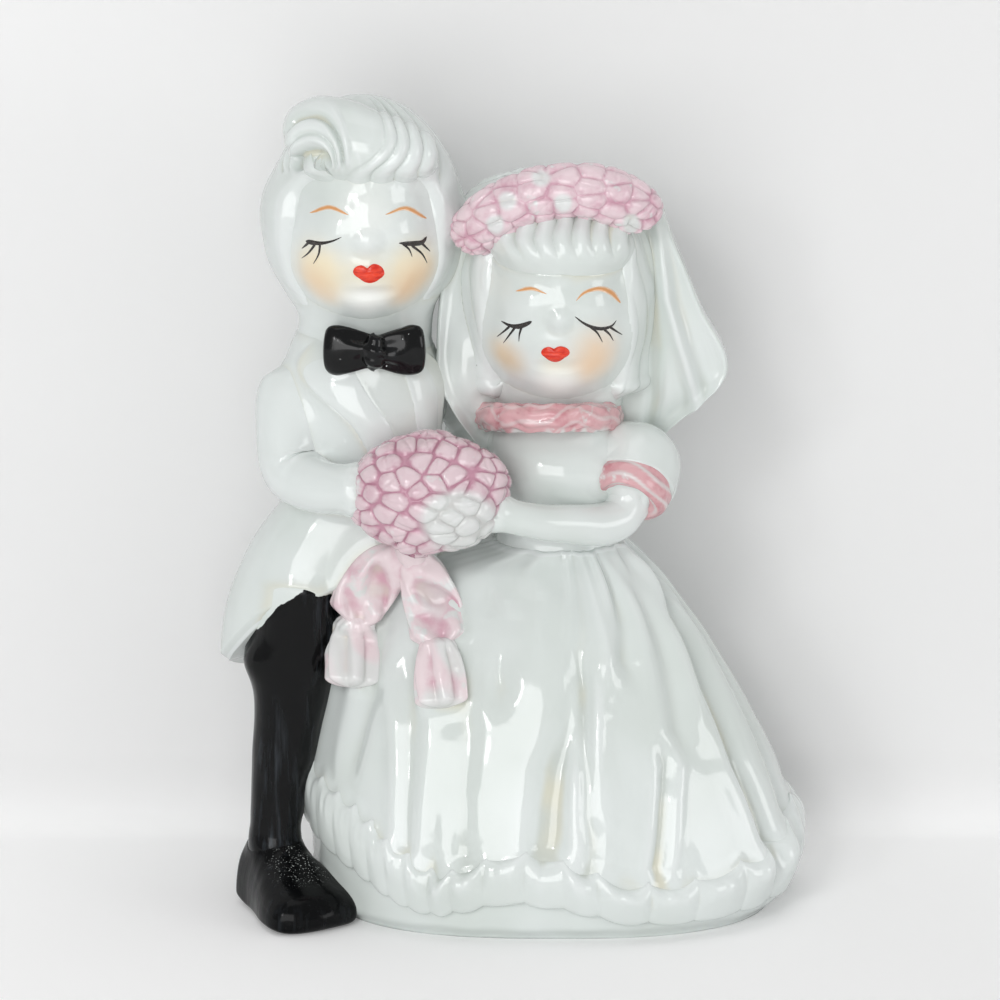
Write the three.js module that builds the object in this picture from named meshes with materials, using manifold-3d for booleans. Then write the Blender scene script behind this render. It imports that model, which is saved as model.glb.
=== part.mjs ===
// A glazed porcelain bride and groom for the top of a wedding cake.
// The figure is modelled as a potter makes it: sections cast or pressed by themselves, trimmed to
// each other, and luted together with slip. Lengths are millimetres, +Z is up, -Y is the front,
// and the origin is the middle of the foot.

import * as THREE from "three";
import { mergeVertices } from "three/addons/utils/BufferGeometryUtils.js";
import Module from "manifold-3d";

const wasm = await Module();
wasm.setup();

// Sizes shared by the whole figure
const SEAM = 0.3; // slip joint between two sections
const OVERRUN = 1; // how far a cutting tool passes the wall that it cuts
const MERGE = 0.001; // vertices closer than this are one
const SMOOTHING = 0.09; // facets flatter than this are joined
const BRIDE_X = 5.5; // upright axes of the two figures
const GROOM_X = -21.5;

// Skirt, petticoat and hem
const SKIRT_HEIGHT = 51;
const HEM_WIDTH = 70;
const HEM_DEPTH = 49;
const WAIST_WIDTH = 18;
const WAIST_DEPTH = 16;
const SKIRT_WALL = 3.4;
const FOLD_DEPTH = 1.5;
const GATHER_DEPTH = 0.5;
const GATHER_COUNT = 16;
const PETTICOAT_RECESS = 0.8;
const FLOOR_THICKNESS = 3;
const VENT_RADIUS = 4;
const HEM_MIDDLE = 6.6; // height of the frill's middle line at the front
const FRILL_WIDTH = 5.6;
const FRILL_BULGE = 1.9;
const FRILL_WAVE = 0.55;
const FRILL_EDGE = 0.5; // how far its waves rise and fall along the edges
const FRILL_COUNT = 26;

// Bride's bodice, arm and neck
const BODICE_HEIGHT = 20;
const BODICE_WIDTH = 18.4;
const BODICE_DEPTH = 16.5;
const PUFF_WIDTH = 12;
const PUFF_DEPTH = 11;
const PUFF_HEIGHT = 12.4;
const PUFF_OUT = 1.6; // from the side of the bodice to the middle of the puff
const CUFF_RADIUS = 4.2;
const CUFF_THICKNESS = 2;
const FOREARM_RADIUS = 2.9;
const COLLAR_WIDTH = 16.8;
const COLLAR_DEPTH = 18;
const COLLAR_THICKNESS = 2.2;
const COLLAR_DROP = 2.2; // how much lower its sides are than its front

// Bride's head, hair, wreath and veil
const BRIDE_HEAD_WIDTH = 21.6;
const BRIDE_HEAD_DEPTH = 22;
const BRIDE_HEAD_HEIGHT = 30;
const BRIDE_CHIN_RISE = 0.5; // chin above the top of the bodice
const BRIDE_HAIR_THICKNESS = 2.2;
const FRINGE_THICKNESS = 2.2;
const FRINGE_COUNT = 6;
const WREATH_THICKNESS = 6.6;
const WREATH_BLOSSOM = 5.6;
const WREATH_COUNT = 6;
const VEIL_HEIGHT = 43;
const VEIL_SPREAD = 9.7; // how far the veil spreads beyond each side of the head
const VEIL_DEPTH = 17;

// Groom's legs and shoes
const TROUSER_WIDTH = 11.4;
const TROUSER_TUCK = 9; // how far under the coat's waist the trousers end
const FOOT_OUT = 4.5; // from the side of the hem to the middle of the front leg's foot
const STRIDE = 10.5; // between the two legs, side to side
const STEP_BACK = 13; // between the two legs, front to back
const SHOE_LENGTH = 21.2;
const SHOE_WIDTH = 11.5;
const SHOE_HEIGHT = 10.5;

// Groom's coat, arms and tie
const COAT_RISE = 6; // the coat's waist seam above the bride's waist
const COAT_HEIGHT = 25;
const COAT_WIDTH = 22.4;
const COAT_DEPTH = 18.5;
const TAIL_DROP = 25;
const TAIL_FLARE = 8.2;
const SLEEVE_WIDTH = 8.2;
const LAPEL_THICKNESS = 1.3;
const SHIRT_THICKNESS = 1;
const TIE_WIDTH = 14;
const TIE_HEIGHT = 6.6;
const TIE_THICKNESS = 3;

// Groom's head and hair
const GROOM_HEAD_WIDTH = 20.6;
const GROOM_HEAD_DEPTH = 22;
const GROOM_HEAD_HEIGHT = 28.4;
const GROOM_CHIN_RISE = 1; // chin above the top of the coat
const GROOM_HAIR_THICKNESS = 3.4;
const QUIFF_THICKNESS = 9;

// Bouquet and ribbons
const BOUQUET_WIDTH = 23;
const BOUQUET_DEPTH = 17;
const BOUQUET_HEIGHT = 16.8;
const BOUQUET_X = -12.4;
const BOUQUET_OUT = 5.55; // its middle in front of the coat
const BOUQUET_RISE = 4.9; // its middle above the coat's waist seam
const FLORET = 4.8;
const FLORET_COUNT = 32;
const RIBBON_THICKNESS = 3.2;
const RIBBON_LOOP_WIDTH = 7.4;
const RIBBON_LOOP_LENGTH = 12.4;
const RIBBON_TAIL_WIDTH = 6.8;

const COAT_WAIST = SKIRT_HEIGHT + COAT_RISE;
const TROUSER_TOP = COAT_WAIST - TROUSER_TUCK;
const VEIL_SPAN = BRIDE_HEAD_WIDTH + 2 * VEIL_SPREAD;

const TURN = 2 * Math.PI;
const FRONT = 0.75; // turns are counted from +X towards the back
const HALF = 0.5;

// Placing along a table

// Reads the values of a table of [place, value, ...] rows at a place, on a smooth curve through them.
function valuesAt(rows, place) {
  const last = rows.length - 1;
  let i = 0;
  while (i < last - 1 && place > rows[i + 1][0]) i++;
  const [start, end] = [rows[i], rows[i + 1]];
  const [before, after] = [rows[Math.max(i - 1, 0)], rows[Math.min(i + 2, last)]];
  const span = end[0] - start[0];
  const t = Math.min(Math.max((place - start[0]) / span, 0), 1);
  return start.slice(1).map((value, k) => {
    const next = end[k + 1];
    const slope = ((next - before[k + 1]) / (end[0] - before[0])) * span;
    const slopeOut = ((after[k + 1] - value) / (after[0] - start[0])) * span;
    const rise = next - value;
    return value + t * (slope + t * (3 * rise - 2 * slope - slopeOut + t * (slope + slopeOut - 2 * rise)));
  });
}

// A bump of height 1 that falls to nothing `width` away from its middle.
function bump(distance, width) {
  const near = Math.max(0, 1 - (distance / width) ** 2);
  return near * near;
}

// Closed bodies

// A body from a pole at rise 0 to a pole at rise 1, with rings of points between them.
function closedBody(at, around, rows) {
  const points = [at(0, 0)];
  for (let j = 1; j < rows; j++) for (let i = 0; i < around; i++) points.push(at(i / around, j / rows));
  points.push(at(0, 1));
  const ring = (i, j) => 1 + (j - 1) * around + (i % around);
  const faces = [];
  for (let i = 0; i < around; i++) {
    faces.push(0, ring(i + 1, 1), ring(i, 1));
    for (let j = 1; j < rows - 1; j++) {
      faces.push(ring(i, j), ring(i + 1, j), ring(i + 1, j + 1));
      faces.push(ring(i, j), ring(i + 1, j + 1), ring(i, j + 1));
    }
    faces.push(ring(i, rows - 1), ring(i + 1, rows - 1), points.length - 1);
  }
  return solid(indexed(points, faces));
}

// A body bent into a ring: at(turn, lap) goes round the ring and, from its top outwards, round its section.
function ringBody(at, around, laps) {
  const points = [];
  for (let i = 0; i < around; i++) for (let j = 0; j < laps; j++) points.push(at(i / around, j / laps));
  const index = (i, j) => (i % around) * laps + (j % laps);
  const faces = [];
  for (let i = 0; i < around; i++) {
    for (let j = 0; j < laps; j++) {
      faces.push(index(i, j), index(i + 1, j + 1), index(i + 1, j));
      faces.push(index(i, j), index(i, j + 1), index(i + 1, j + 1));
    }
  }
  return solid(indexed(points, faces));
}

function indexed(points, faces) {
  const geometry = new THREE.BufferGeometry().setFromPoints(points);
  return geometry.setIndex(faces);
}

// A three.js geometry as a manifold solid.
function solid(geometry) {
  const bare = geometry.clone();
  bare.deleteAttribute("normal");
  bare.deleteAttribute("uv");
  const merged = mergeVertices(bare, MERGE);
  return new wasm.Manifold(
    new wasm.Mesh({
      numProp: 3,
      vertProperties: merged.attributes.position.array,
      triVerts: new Uint32Array(merged.index.array),
    }),
  );
}

function geometryOf(body) {
  const mesh = body.getMesh();
  const geometry = new THREE.BufferGeometry();
  geometry.setAttribute("position", new THREE.BufferAttribute(new Float32Array(mesh.vertProperties), 3));
  geometry.setIndex(new THREE.BufferAttribute(new Uint32Array(mesh.triVerts), 1));
  return geometry;
}

// The same body with its skin moved out by a distance.
function grown(body, distance) {
  const geometry = geometryOf(body);
  geometry.computeVertexNormals();
  const { position, normal } = geometry.attributes;
  for (let i = 0; i < position.count; i++) {
    position.setXYZ(
      i,
      position.getX(i) + normal.getX(i) * distance,
      position.getY(i) + normal.getY(i) * distance,
      position.getZ(i) + normal.getZ(i) * distance,
    );
  }
  return solid(geometry);
}

// The main part of a body, without the slivers that a cut leaves.
function mainPart(body) {
  const parts = body.decompose();
  return parts.reduce((big, part) => (part.volume() > big.volume() ? part : big));
}

// Upright forms

// A point on an upright ring with its own reach to the right, back, left and front.
// A squareness of 2 gives an ellipse, and more gives fuller corners.
function ringPoint(ring, turn) {
  const c = Math.cos(turn * TURN);
  const s = Math.sin(turn * TURN);
  const power = 2 / (c < 0 && s > 0 && ring.backLeft ? ring.backLeft : ring.squareness);
  const across = Math.sign(c) * Math.abs(c) ** power * (c > 0 ? ring.right : ring.left);
  const along = Math.sign(s) * Math.abs(s) ** power * (s > 0 ? ring.back : ring.front);
  return new THREE.Vector3(ring.x + across, ring.y + along, ring.z);
}

// The front of an upright ring at a place across it.
function ringFront(ring, x) {
  const reach = x > ring.x ? ring.right : ring.left;
  const share = Math.min(Math.abs(x - ring.x) / reach, 1);
  return ring.y - ring.front * (1 - share ** ring.squareness) ** (1 / ring.squareness);
}

// An ellipsoid whose sides can be squared or bent by a relief.
function ball({ middle, width, depth, height, around, rows, relief = () => 0, shares = BALL_SHARES }) {
  return closedBody(
    (turn, rise) => {
      const angle = rise * Math.PI;
      const [wide, deep] = valuesAt(shares, HALF - HALF * Math.cos(angle));
      const reach = Math.sin(angle) + relief(turn, rise);
      return new THREE.Vector3(
        middle.x + Math.cos(turn * TURN) * reach * wide * width * HALF,
        middle.y + Math.sin(turn * TURN) * reach * deep * depth * HALF,
        middle.z - Math.cos(angle) * height * HALF,
      );
    },
    around,
    rows,
  );
}
const BALL_SHARES = [
  [0, 1, 1],
  [1, 1, 1],
];

// Limbs: a body along a curve, with a side-to-side and a front-to-back half-width at each place

function limb({ path, radii, around, rows, relief = () => 0, facing = new THREE.Vector3(0, -1, 0) }) {
  const curve = new THREE.CatmullRomCurve3(path, false, "centripetal");
  return closedBody(
    (turn, rise) => {
      const pole = rise === 0 || rise === 1;
      const [side, out] = pole ? [0, 0] : valuesAt(radii, rise);
      const tangent = curve.getTangentAt(rise);
      const outward = facing.clone().addScaledVector(tangent, -facing.dot(tangent)).normalize();
      const sideways = outward.clone().cross(tangent);
      const swell = 1 + relief(turn, rise);
      return curve
        .getPointAt(rise)
        .addScaledVector(sideways, Math.cos(turn * TURN) * side * swell)
        .addScaledVector(outward, Math.sin(turn * TURN) * out * swell);
    },
    around,
    rows,
  );
}

const vector = (x, y, z) => new THREE.Vector3(x, y, z);

// Skirt

// Rows give the height and then how far the skirt has spread from waist to hem, as shares,
// to the right, back, left and front.
const SKIRT_SHARES = [
  [0, 0.86, 0.95, 0.93, 0.97],
  [0.14, 0.92, 1, 0.98, 1],
  [0.34, 0.82, 0.87, 0.98, 0.92],
  [0.49, 0.69, 0.72, 0.94, 0.79],
  [0.66, 0.51, 0.54, 0.86, 0.6],
  [0.82, 0.31, 0.33, 0.74, 0.38],
  [0.94, 0.12, 0.14, 0.5, 0.15],
  [1, 0, 0, 0, 0],
];
const SKIRT_SQUARE_SHARES = [
  [0, 2.5],
  [0.6, 2.2],
  [1, 2],
];

function skirtRing(rise) {
  const [right, back, left, front] = valuesAt(SKIRT_SHARES, rise);
  const [squareness] = valuesAt(SKIRT_SQUARE_SHARES, rise);
  const spread = (waist, hem, share) => (waist + (hem - waist) * share) * HALF;
  return {
    x: BRIDE_X,
    y: 0,
    z: rise * SKIRT_HEIGHT,
    right: spread(WAIST_WIDTH, HEM_WIDTH, right),
    back: spread(WAIST_DEPTH, HEM_DEPTH, back),
    left: spread(WAIST_WIDTH, HEM_WIDTH, left),
    front: spread(WAIST_DEPTH, HEM_DEPTH, front),
    squareness,
    backLeft: BACK_LEFT_SQUARENESS,
  };
}
const BACK_LEFT_SQUARENESS = 1.6;

// The lines of the folds, valleys and ridges in turn: the turn at the waist and at the hem, and how
// far the line stands out.
const FOLD_SHARES = [
  [0.06, 0.015, 0.3],
  [0.09, 0.045, -0.85],
  [0.125, 0.09, 0.3],
  [0.16, 0.132, -0.8],
  [0.2, 0.175, 0.3],
  [0.23, 0.211, -0.9],
  [0.265, 0.255, 0.3],
  [0.3, 0.3, -0.75],
  [0.335, 0.345, 0.25],
  [0.4, 0.419, -0.6],
  [0.45, 0.47, 0.15],
  [0.55, 0.56, 0.1],
  [0.592, 0.597, -0.5],
  [0.625, 0.64, 0.4],
  [0.65, 0.66, -0.2],
  [0.667, 0.678, -0.4],
  [0.684, 0.698, -0.5],
  [0.72, 0.72, 0.1],
  [0.776, 0.746, -0.8],
  [0.8, 0.765, 0.3],
  [0.83, 0.785, 0.1],
  [0.86, 0.81, -0.5],
  [0.88, 0.832, 0.25],
  [0.907, 0.856, -0.2],
  [0.945, 0.895, 0.75],
  [0.985, 0.922, -1.25],
  [1.01, 0.948, 0.2],
  [1.03, 0.972, -0.65],
];

// The turn of every fold line at a height, with the first line again at the end.
function foldLines(rise) {
  const lines = FOLD_SHARES.map(([waist, hem, out]) => [hem + (waist - hem) * rise ** 1.5, out]);
  return [...lines, [lines[0][0] + 1, lines[0][1]]];
}

// The skirt's columns follow the fold lines, with one column between each line and the next.
function foldTurn(step, rise) {
  const lines = foldLines(rise);
  const place = step * FOLD_SHARES.length;
  const line = Math.min(Math.floor(place), FOLD_SHARES.length - 1);
  return THREE.MathUtils.lerp(lines[line][0], lines[line + 1][0], place - line);
}

function skirtRelief(turn, rise) {
  const lines = foldLines(rise);
  const start = lines[0][0];
  const [fold] = valuesAt(lines, start + THREE.MathUtils.euclideanModulo(turn - start, 1));
  const gathers = Math.cos(turn * TURN * GATHER_COUNT) * bump(1 - rise, 0.45);
  return gathers * GATHER_DEPTH + fold * FOLD_DEPTH * (1 - rise ** 2);
}

function skirtPoint(turn, rise, inset) {
  const ring = skirtRing(rise);
  const point = ringPoint(ring, turn);
  const axis = vector(ring.x, ring.y, ring.z);
  const outward = point.clone().sub(axis).normalize();
  return point.addScaledVector(outward, skirtRelief(turn, rise) - inset);
}

// Rows give the turn, then the height of the hem's middle line and the frill's width, as shares.
const HEM_SHARES = [
  [0, 1.36, 1.7],
  [0.12, 1.3, 1.4],
  [0.25, 1.05, 1.1],
  [0.38, 1.3, 1.3],
  [0.5, 2.5, 1.6],
  [0.54, 2.36, 1.5],
  [0.61, 1.9, 1.5],
  [0.657, 1.24, 1.3],
  [0.683, 1, 0.98],
  [0.725, 1.38, 1.15],
  [0.742, 1.35, 1.15],
  [0.781, 0.88, 0.95],
  [0.82, 0.77, 0.95],
  [0.862, 0.86, 1.1],
  [0.924, 1.06, 1.35],
  [1, 1.36, 1.7],
];

const hemHeight = (turn) => valuesAt(HEM_SHARES, turn)[0] * HEM_MIDDLE;
const frillHalfWidth = (turn) => valuesAt(HEM_SHARES, turn)[1] * FRILL_WIDTH * HALF;
const SKIRT_ROWS = 9;
const SKIRT_AROUND = 2 * FOLD_SHARES.length;

function dressSkirt() {
  return closedBody(
    (step, rise) => {
      if (rise === 0) return vector(BRIDE_X, 0, HEM_MIDDLE + 1.5 * SEAM);
      if (rise === 1) return vector(BRIDE_X, 0, SKIRT_HEIGHT);
      const share = (rise * SKIRT_ROWS - 1) / (SKIRT_ROWS - 2);
      const turn = foldTurn(step, share);
      const hem = (hemHeight(turn) + 1.5 * SEAM) / SKIRT_HEIGHT;
      return skirtPoint(turn, hem + (1 - hem) * share, 0);
    },
    SKIRT_AROUND,
    SKIRT_ROWS,
  );
}

function petticoat() {
  const rows = 3;
  return closedBody(
    (turn, rise) => {
      if (rise === 0) return vector(BRIDE_X, 0, 0);
      if (rise === 1) return vector(BRIDE_X, 0, HEM_MIDDLE);
      const share = (rise * rows - 1) / (rows - 2);
      return skirtPoint(turn, (share * hemHeight(turn)) / SKIRT_HEIGHT, PETTICOAT_RECESS);
    },
    SKIRT_AROUND / 2,
    rows,
  );
}

// The hollow that the slip leaves inside the skirt when the mould is drained.
function castHollow(legs) {
  const around = 16;
  const rows = 6;
  const low = FLOOR_THICKNESS / SKIRT_HEIGHT;
  const high = 1 - SKIRT_WALL / SKIRT_HEIGHT;
  const hollow = closedBody(
    (turn, rise) => {
      if (rise === 0) return vector(BRIDE_X, 0, FLOOR_THICKNESS);
      if (rise === 1) return vector(BRIDE_X, 0, high * SKIRT_HEIGHT);
      const share = (rise * rows - 1) / (rows - 2);
      const ring = skirtRing(low + (high - low) * share);
      const trimmed = { ...ring };
      for (const side of ["right", "back", "left", "front"]) trimmed[side] -= SKIRT_WALL + FOLD_DEPTH;
      return ringPoint(trimmed, turn);
    },
    around,
    rows,
  );
  return legs.reduce((left, leg) => left.subtract(grown(leg, SKIRT_WALL)), hollow);
}

function ventHole() {
  const length = FLOOR_THICKNESS + 2 * OVERRUN;
  const hole = new THREE.CylinderGeometry(VENT_RADIUS, VENT_RADIUS, length, 16);
  hole.rotateX(TURN / 4).translate(BRIDE_X, 0, length * HALF - OVERRUN);
  return solid(hole);
}

// The frill lies along the hem, puffed out in small waves, with a flat back against the skirt.
function hemFrill() {
  return ringBody(
    (turn, lap) => {
      const out = Math.sin(lap * TURN);
      const wave = Math.cos(turn * TURN * FRILL_COUNT);
      const height = hemHeight(turn) + Math.cos(lap * TURN) * frillHalfWidth(turn) + wave * FRILL_EDGE;
      const bulge = Math.max(out, 0) * (FRILL_BULGE + FRILL_WAVE * wave);
      return skirtPoint(turn, Math.max(height, SEAM) / SKIRT_HEIGHT, -1.5 * SEAM - bulge);
    },
    2 * FRILL_COUNT,
    5,
  );
}

// Bride's bodice and arm

const BODICE_SHARES = [
  [0, 0.9, 0.9, 0.9, 0.88],
  [0.25, 0.94, 0.92, 0.94, 0.98],
  [0.55, 1, 1, 1, 1.28],
  [0.72, 1, 1, 1, 1.2],
  [0.86, 0.84, 0.86, 0.84, 0.9],
  [0.95, 0.6, 0.64, 0.6, 0.64],
  [1, 0.48, 0.5, 0.48, 0.5],
];
const COAT_SHARES = [
  [0, 0.9, 0.86, 0.94, 0.88],
  [0.25, 0.94, 0.94, 0.97, 0.97],
  [0.5, 1, 1, 1, 1.02],
  [0.68, 1, 0.98, 1, 0.96],
  [0.84, 0.84, 0.84, 0.88, 0.84],
  [0.94, 0.62, 0.66, 0.72, 0.68],
  [1, 0.42, 0.46, 0.46, 0.52],
];

// A trunk rises from its waist to its neck, with flat ends.
function trunk({ x, z, width, depth, height, shares, squareness, around, rows }) {
  const ringAt = (rise) => {
    const [right, back, left, front] = valuesAt(shares, rise);
    return {
      x,
      y: 0,
      z: z + rise * height,
      right: right * width * HALF,
      back: back * depth * HALF,
      left: left * width * HALF,
      front: front * depth * HALF,
      squareness,
    };
  };
  const body = closedBody(
    (turn, rise) => {
      if (rise === 0 || rise === 1) return vector(x, 0, z + rise * height);
      return ringPoint(ringAt((rise * rows - 1) / (rows - 2)), turn);
    },
    around,
    rows,
  );
  return { body, ringAt };
}

const bodice = trunk({
  x: BRIDE_X,
  z: SKIRT_HEIGHT + SEAM,
  width: BODICE_WIDTH,
  depth: BODICE_DEPTH,
  height: BODICE_HEIGHT,
  shares: BODICE_SHARES,
  squareness: 2.2,
  around: 22,
  rows: 9,
});
const coat = trunk({
  x: GROOM_X,
  z: COAT_WAIST,
  width: COAT_WIDTH,
  depth: COAT_DEPTH,
  height: COAT_HEIGHT,
  shares: COAT_SHARES,
  squareness: 2.3,
  around: 22,
  rows: 9,
});

const puffMiddle = vector(
  BRIDE_X + BODICE_WIDTH * HALF + PUFF_OUT,
  -BODICE_DEPTH * 0.25,
  SKIRT_HEIGHT + BODICE_HEIGHT * 0.57,
);
const puffFoot = puffMiddle.clone().add(vector(-PUFF_WIDTH * 0.08, -PUFF_DEPTH * 0.25, -PUFF_HEIGHT * 0.2));

function puffSleeve() {
  return ball({
    middle: puffMiddle,
    width: PUFF_WIDTH,
    depth: PUFF_DEPTH,
    height: PUFF_HEIGHT,
    around: 16,
    rows: 9,
  });
}

function sleeveCuff() {
  const axis = puffFoot.clone().sub(puffMiddle).normalize();
  const cuff = new THREE.TorusGeometry(CUFF_RADIUS, CUFF_THICKNESS, 6, 12);
  cuff.applyQuaternion(new THREE.Quaternion().setFromUnitVectors(vector(0, 0, 1), axis));
  cuff.translate(puffFoot.x, puffFoot.y, puffFoot.z);
  return solid(cuff);
}

const bouquetMiddle = vector(BOUQUET_X, -COAT_DEPTH * HALF - BOUQUET_OUT, COAT_WAIST + BOUQUET_RISE);

// A place in the bouquet, in shares of its width, depth and height from its middle.
const inBouquet = (across, along, up) =>
  bouquetMiddle.clone().add(vector(BOUQUET_WIDTH * across, BOUQUET_DEPTH * along, BOUQUET_HEIGHT * up));

function brideForearm() {
  const from = puffFoot.clone();
  const elbow = from.clone().add(vector(-FOREARM_RADIUS * 0.6, -FOREARM_RADIUS * 0.5, -FOREARM_RADIUS * 1.5));
  const grip = inBouquet(0.36, -0.12, -0.15);
  const middle = elbow.clone().lerp(grip, HALF).add(vector(0, -FOREARM_RADIUS * 0.5, -FOREARM_RADIUS * 0.25));
  return limb({
    path: [puffMiddle.clone().lerp(from, HALF), elbow, middle, grip],
    radii: [
      [0, FOREARM_RADIUS, FOREARM_RADIUS],
      [0.3, FOREARM_RADIUS * 1.12, FOREARM_RADIUS * 1.12],
      [0.65, FOREARM_RADIUS, FOREARM_RADIUS],
      [1, FOREARM_RADIUS * 0.86, FOREARM_RADIUS * 0.86],
    ],
    around: 12,
    rows: 9,
  });
}

// Groom's arms

const shoulderZ = COAT_WAIST + COAT_HEIGHT * 0.66;

function groomFrontSleeve() {
  const shoulder = vector(GROOM_X - COAT_WIDTH * 0.45, -COAT_DEPTH * 0.05, shoulderZ + SLEEVE_WIDTH * 0.24);
  const wrist = inBouquet(-0.36, -0.1, 0.05);
  const elbowX = shoulder.x + SLEEVE_WIDTH * 0.06;
  const elbow = vector(elbowX, -COAT_DEPTH * 0.42, COAT_WAIST + SLEEVE_WIDTH * 0.72);
  const upper = shoulder.clone().lerp(elbow, HALF).add(vector(-SLEEVE_WIDTH * 0.06, 0, 0));
  const lower = elbow.clone().lerp(wrist, HALF).add(vector(-SLEEVE_WIDTH * 0.1, 0, -SLEEVE_WIDTH * 0.14));
  const r = SLEEVE_WIDTH * HALF;
  return limb({
    path: [shoulder, upper, elbow, lower, wrist],
    radii: [
      [0, r * 0.6, r * 0.6],
      [0.08, r * 0.92, r * 0.95],
      [0.2, r * 1.04, r * 1.08],
      [0.45, r, r],
      [0.62, r * 0.95, r * 0.95],
      [1, r * 0.76, r * 0.78],
    ],
    around: 12,
    rows: 10,
  });
}

// The groom's other arm goes round behind the bride.
function groomBackSleeve() {
  const r = SLEEVE_WIDTH * 0.46;
  const back = COAT_DEPTH * HALF;
  const shoulder = vector(GROOM_X + COAT_WIDTH * 0.42, back * 0.25, shoulderZ);
  const elbow = vector(GROOM_X + COAT_WIDTH * 0.72, back * 1.05, COAT_WAIST + COAT_HEIGHT * 0.14);
  const wrist = vector(BRIDE_X - BODICE_WIDTH * 0.1, back * 1.1, SKIRT_HEIGHT + BODICE_HEIGHT * 0.36);
  return limb({
    path: [shoulder, shoulder.clone().lerp(elbow, HALF).add(vector(r * HALF, r * HALF, 0)), elbow, wrist],
    radii: [
      [0, r, r],
      [0.5, r, r],
      [1, r * 0.8, r * 0.8],
    ],
    around: 12,
    rows: 11,
    facing: vector(0, 1, 0),
  });
}

// Coat skirt with its cut-away front and long tails

// Rows give the turn, then how far the edge has dropped to the tails and how far it has flared out.
const TAIL_SHARES = [
  [0, 0.5, 0.12],
  [0.12, 0.9, 0.4],
  [0.22, 1.06, 0.5],
  [0.25, 0.9, 0.42],
  [0.28, 1.06, 0.5],
  [0.4, 1.06, 0.8],
  [0.5, 0.95, 1],
  [0.54, 0.84, 0.92],
  [0.6, 0.68, 0.7],
  [0.68, 0.48, 0.25],
  [0.75, 0.4, 0.06],
  [1, 0.5, 0.12],
];

function coatTails() {
  const around = 24;
  const rows = 6;
  const waistRing = coat.ringAt(0);
  return closedBody(
    (turn, rise) => {
      if (rise === 0) return vector(GROOM_X, 0, COAT_WAIST - TAIL_DROP * 0.45);
      if (rise === 1) return vector(GROOM_X, 0, COAT_WAIST - SEAM);
      const share = (rise * rows - 1) / (rows - 2);
      const [drop, flare] = valuesAt(TAIL_SHARES, turn);
      const point = ringPoint(waistRing, turn);
      const outward = point.clone().sub(vector(GROOM_X, 0, COAT_WAIST)).normalize();
      point.addScaledVector(outward, flare * TAIL_FLARE * (1 - share ** 2.2));
      point.z = COAT_WAIST - SEAM - drop * TAIL_DROP * (1 - share);
      return point;
    },
    around,
    rows,
  );
}

// Trousers and shoes

const FRONT_LEG = vector(BRIDE_X - HEM_WIDTH * HALF - FOOT_OUT, -STEP_BACK * 0.44, 0);
const BACK_LEG = vector(FRONT_LEG.x + STRIDE, STEP_BACK * 0.5, 0);

// The leg leans in from its foot towards its side of the coat.
function trouserLeg(foot, side) {
  const r = TROUSER_WIDTH * HALF;
  const hipX = THREE.MathUtils.lerp(foot.x, GROOM_X - COAT_WIDTH * side, 0.6);
  const hip = vector(hipX, foot.y * 0.7, TROUSER_TOP);
  const knee = foot.clone().lerp(hip, 0.62);
  const ankle = vector(foot.x, foot.y - r * 0.22, SHOE_HEIGHT * 0.6);
  const shin = knee.clone().lerp(ankle, 0.55).add(vector(-r * 0.06, 0, 0));
  return limb({
    path: [ankle, shin, knee, hip],
    radii: [
      [0, r * 0.62, r * 0.66],
      [0.2, r * 0.65, r * 0.7],
      [0.45, r * 0.8, r * 0.82],
      [0.75, r, r * 0.98],
      [1, r * 1.04, r * 1.02],
    ],
    around: 16,
    rows: 9,
  });
}

// Rows run from heel to toe, with half-width and height shares.
const SHOE_SHARES = [
  [0, 0.5, 0.5],
  [0.08, 0.68, 0.78],
  [0.3, 0.74, 1],
  [0.5, 0.86, 0.84],
  [0.72, 1, 0.62],
  [0.88, 0.96, 0.5],
  [1, 0.7, 0.36],
];

function shoe(foot, heading) {
  const along = vector(Math.sin(heading), -Math.cos(heading), 0);
  const side = vector(Math.cos(heading), Math.sin(heading), 0);
  const heel = foot.clone().addScaledVector(along, -SHOE_LENGTH * 0.24);
  const rows = 11;
  return closedBody(
    (turn, rise) => {
      const share = Math.min(Math.max((rise * rows - 1) / (rows - 2), 0), 1);
      const [wide, high] = valuesAt(SHOE_SHARES, share);
      const pole = rise === 0 || rise === 1;
      const c = Math.cos(turn * TURN);
      const s = Math.sin(turn * TURN);
      const across = pole ? 0 : Math.sign(c) * Math.abs(c) ** 0.75 * wide * SHOE_WIDTH * HALF;
      const up = Math.max(pole ? 0.4 * high : s ** (s > 0 ? 0.8 : 1) * high, 0) * SHOE_HEIGHT;
      return heel
        .clone()
        .addScaledVector(along, share * SHOE_LENGTH)
        .addScaledVector(side, across)
        .setZ(up);
    },
    16,
    rows,
  );
}

// Heads

// Rows give the height in the head, then width and depth, as shares.
const HEAD_SHARES = [
  [0, 1.2, 1.1],
  [0.07, 1.2, 1.06],
  [0.2, 1.16, 1],
  [0.38, 1.09, 1],
  [0.6, 1, 1],
  [1, 1, 1],
];

const brideHeadMiddle = vector(
  BRIDE_X,
  -BODICE_DEPTH * 0.06,
  SKIRT_HEIGHT + BODICE_HEIGHT + BRIDE_CHIN_RISE + BRIDE_HEAD_HEIGHT * HALF,
);
const groomHeadMiddle = vector(
  GROOM_X + COAT_WIDTH * 0.02,
  -COAT_DEPTH * 0.06,
  COAT_WAIST + COAT_HEIGHT + GROOM_CHIN_RISE + GROOM_HEAD_HEIGHT * HALF,
);

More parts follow.
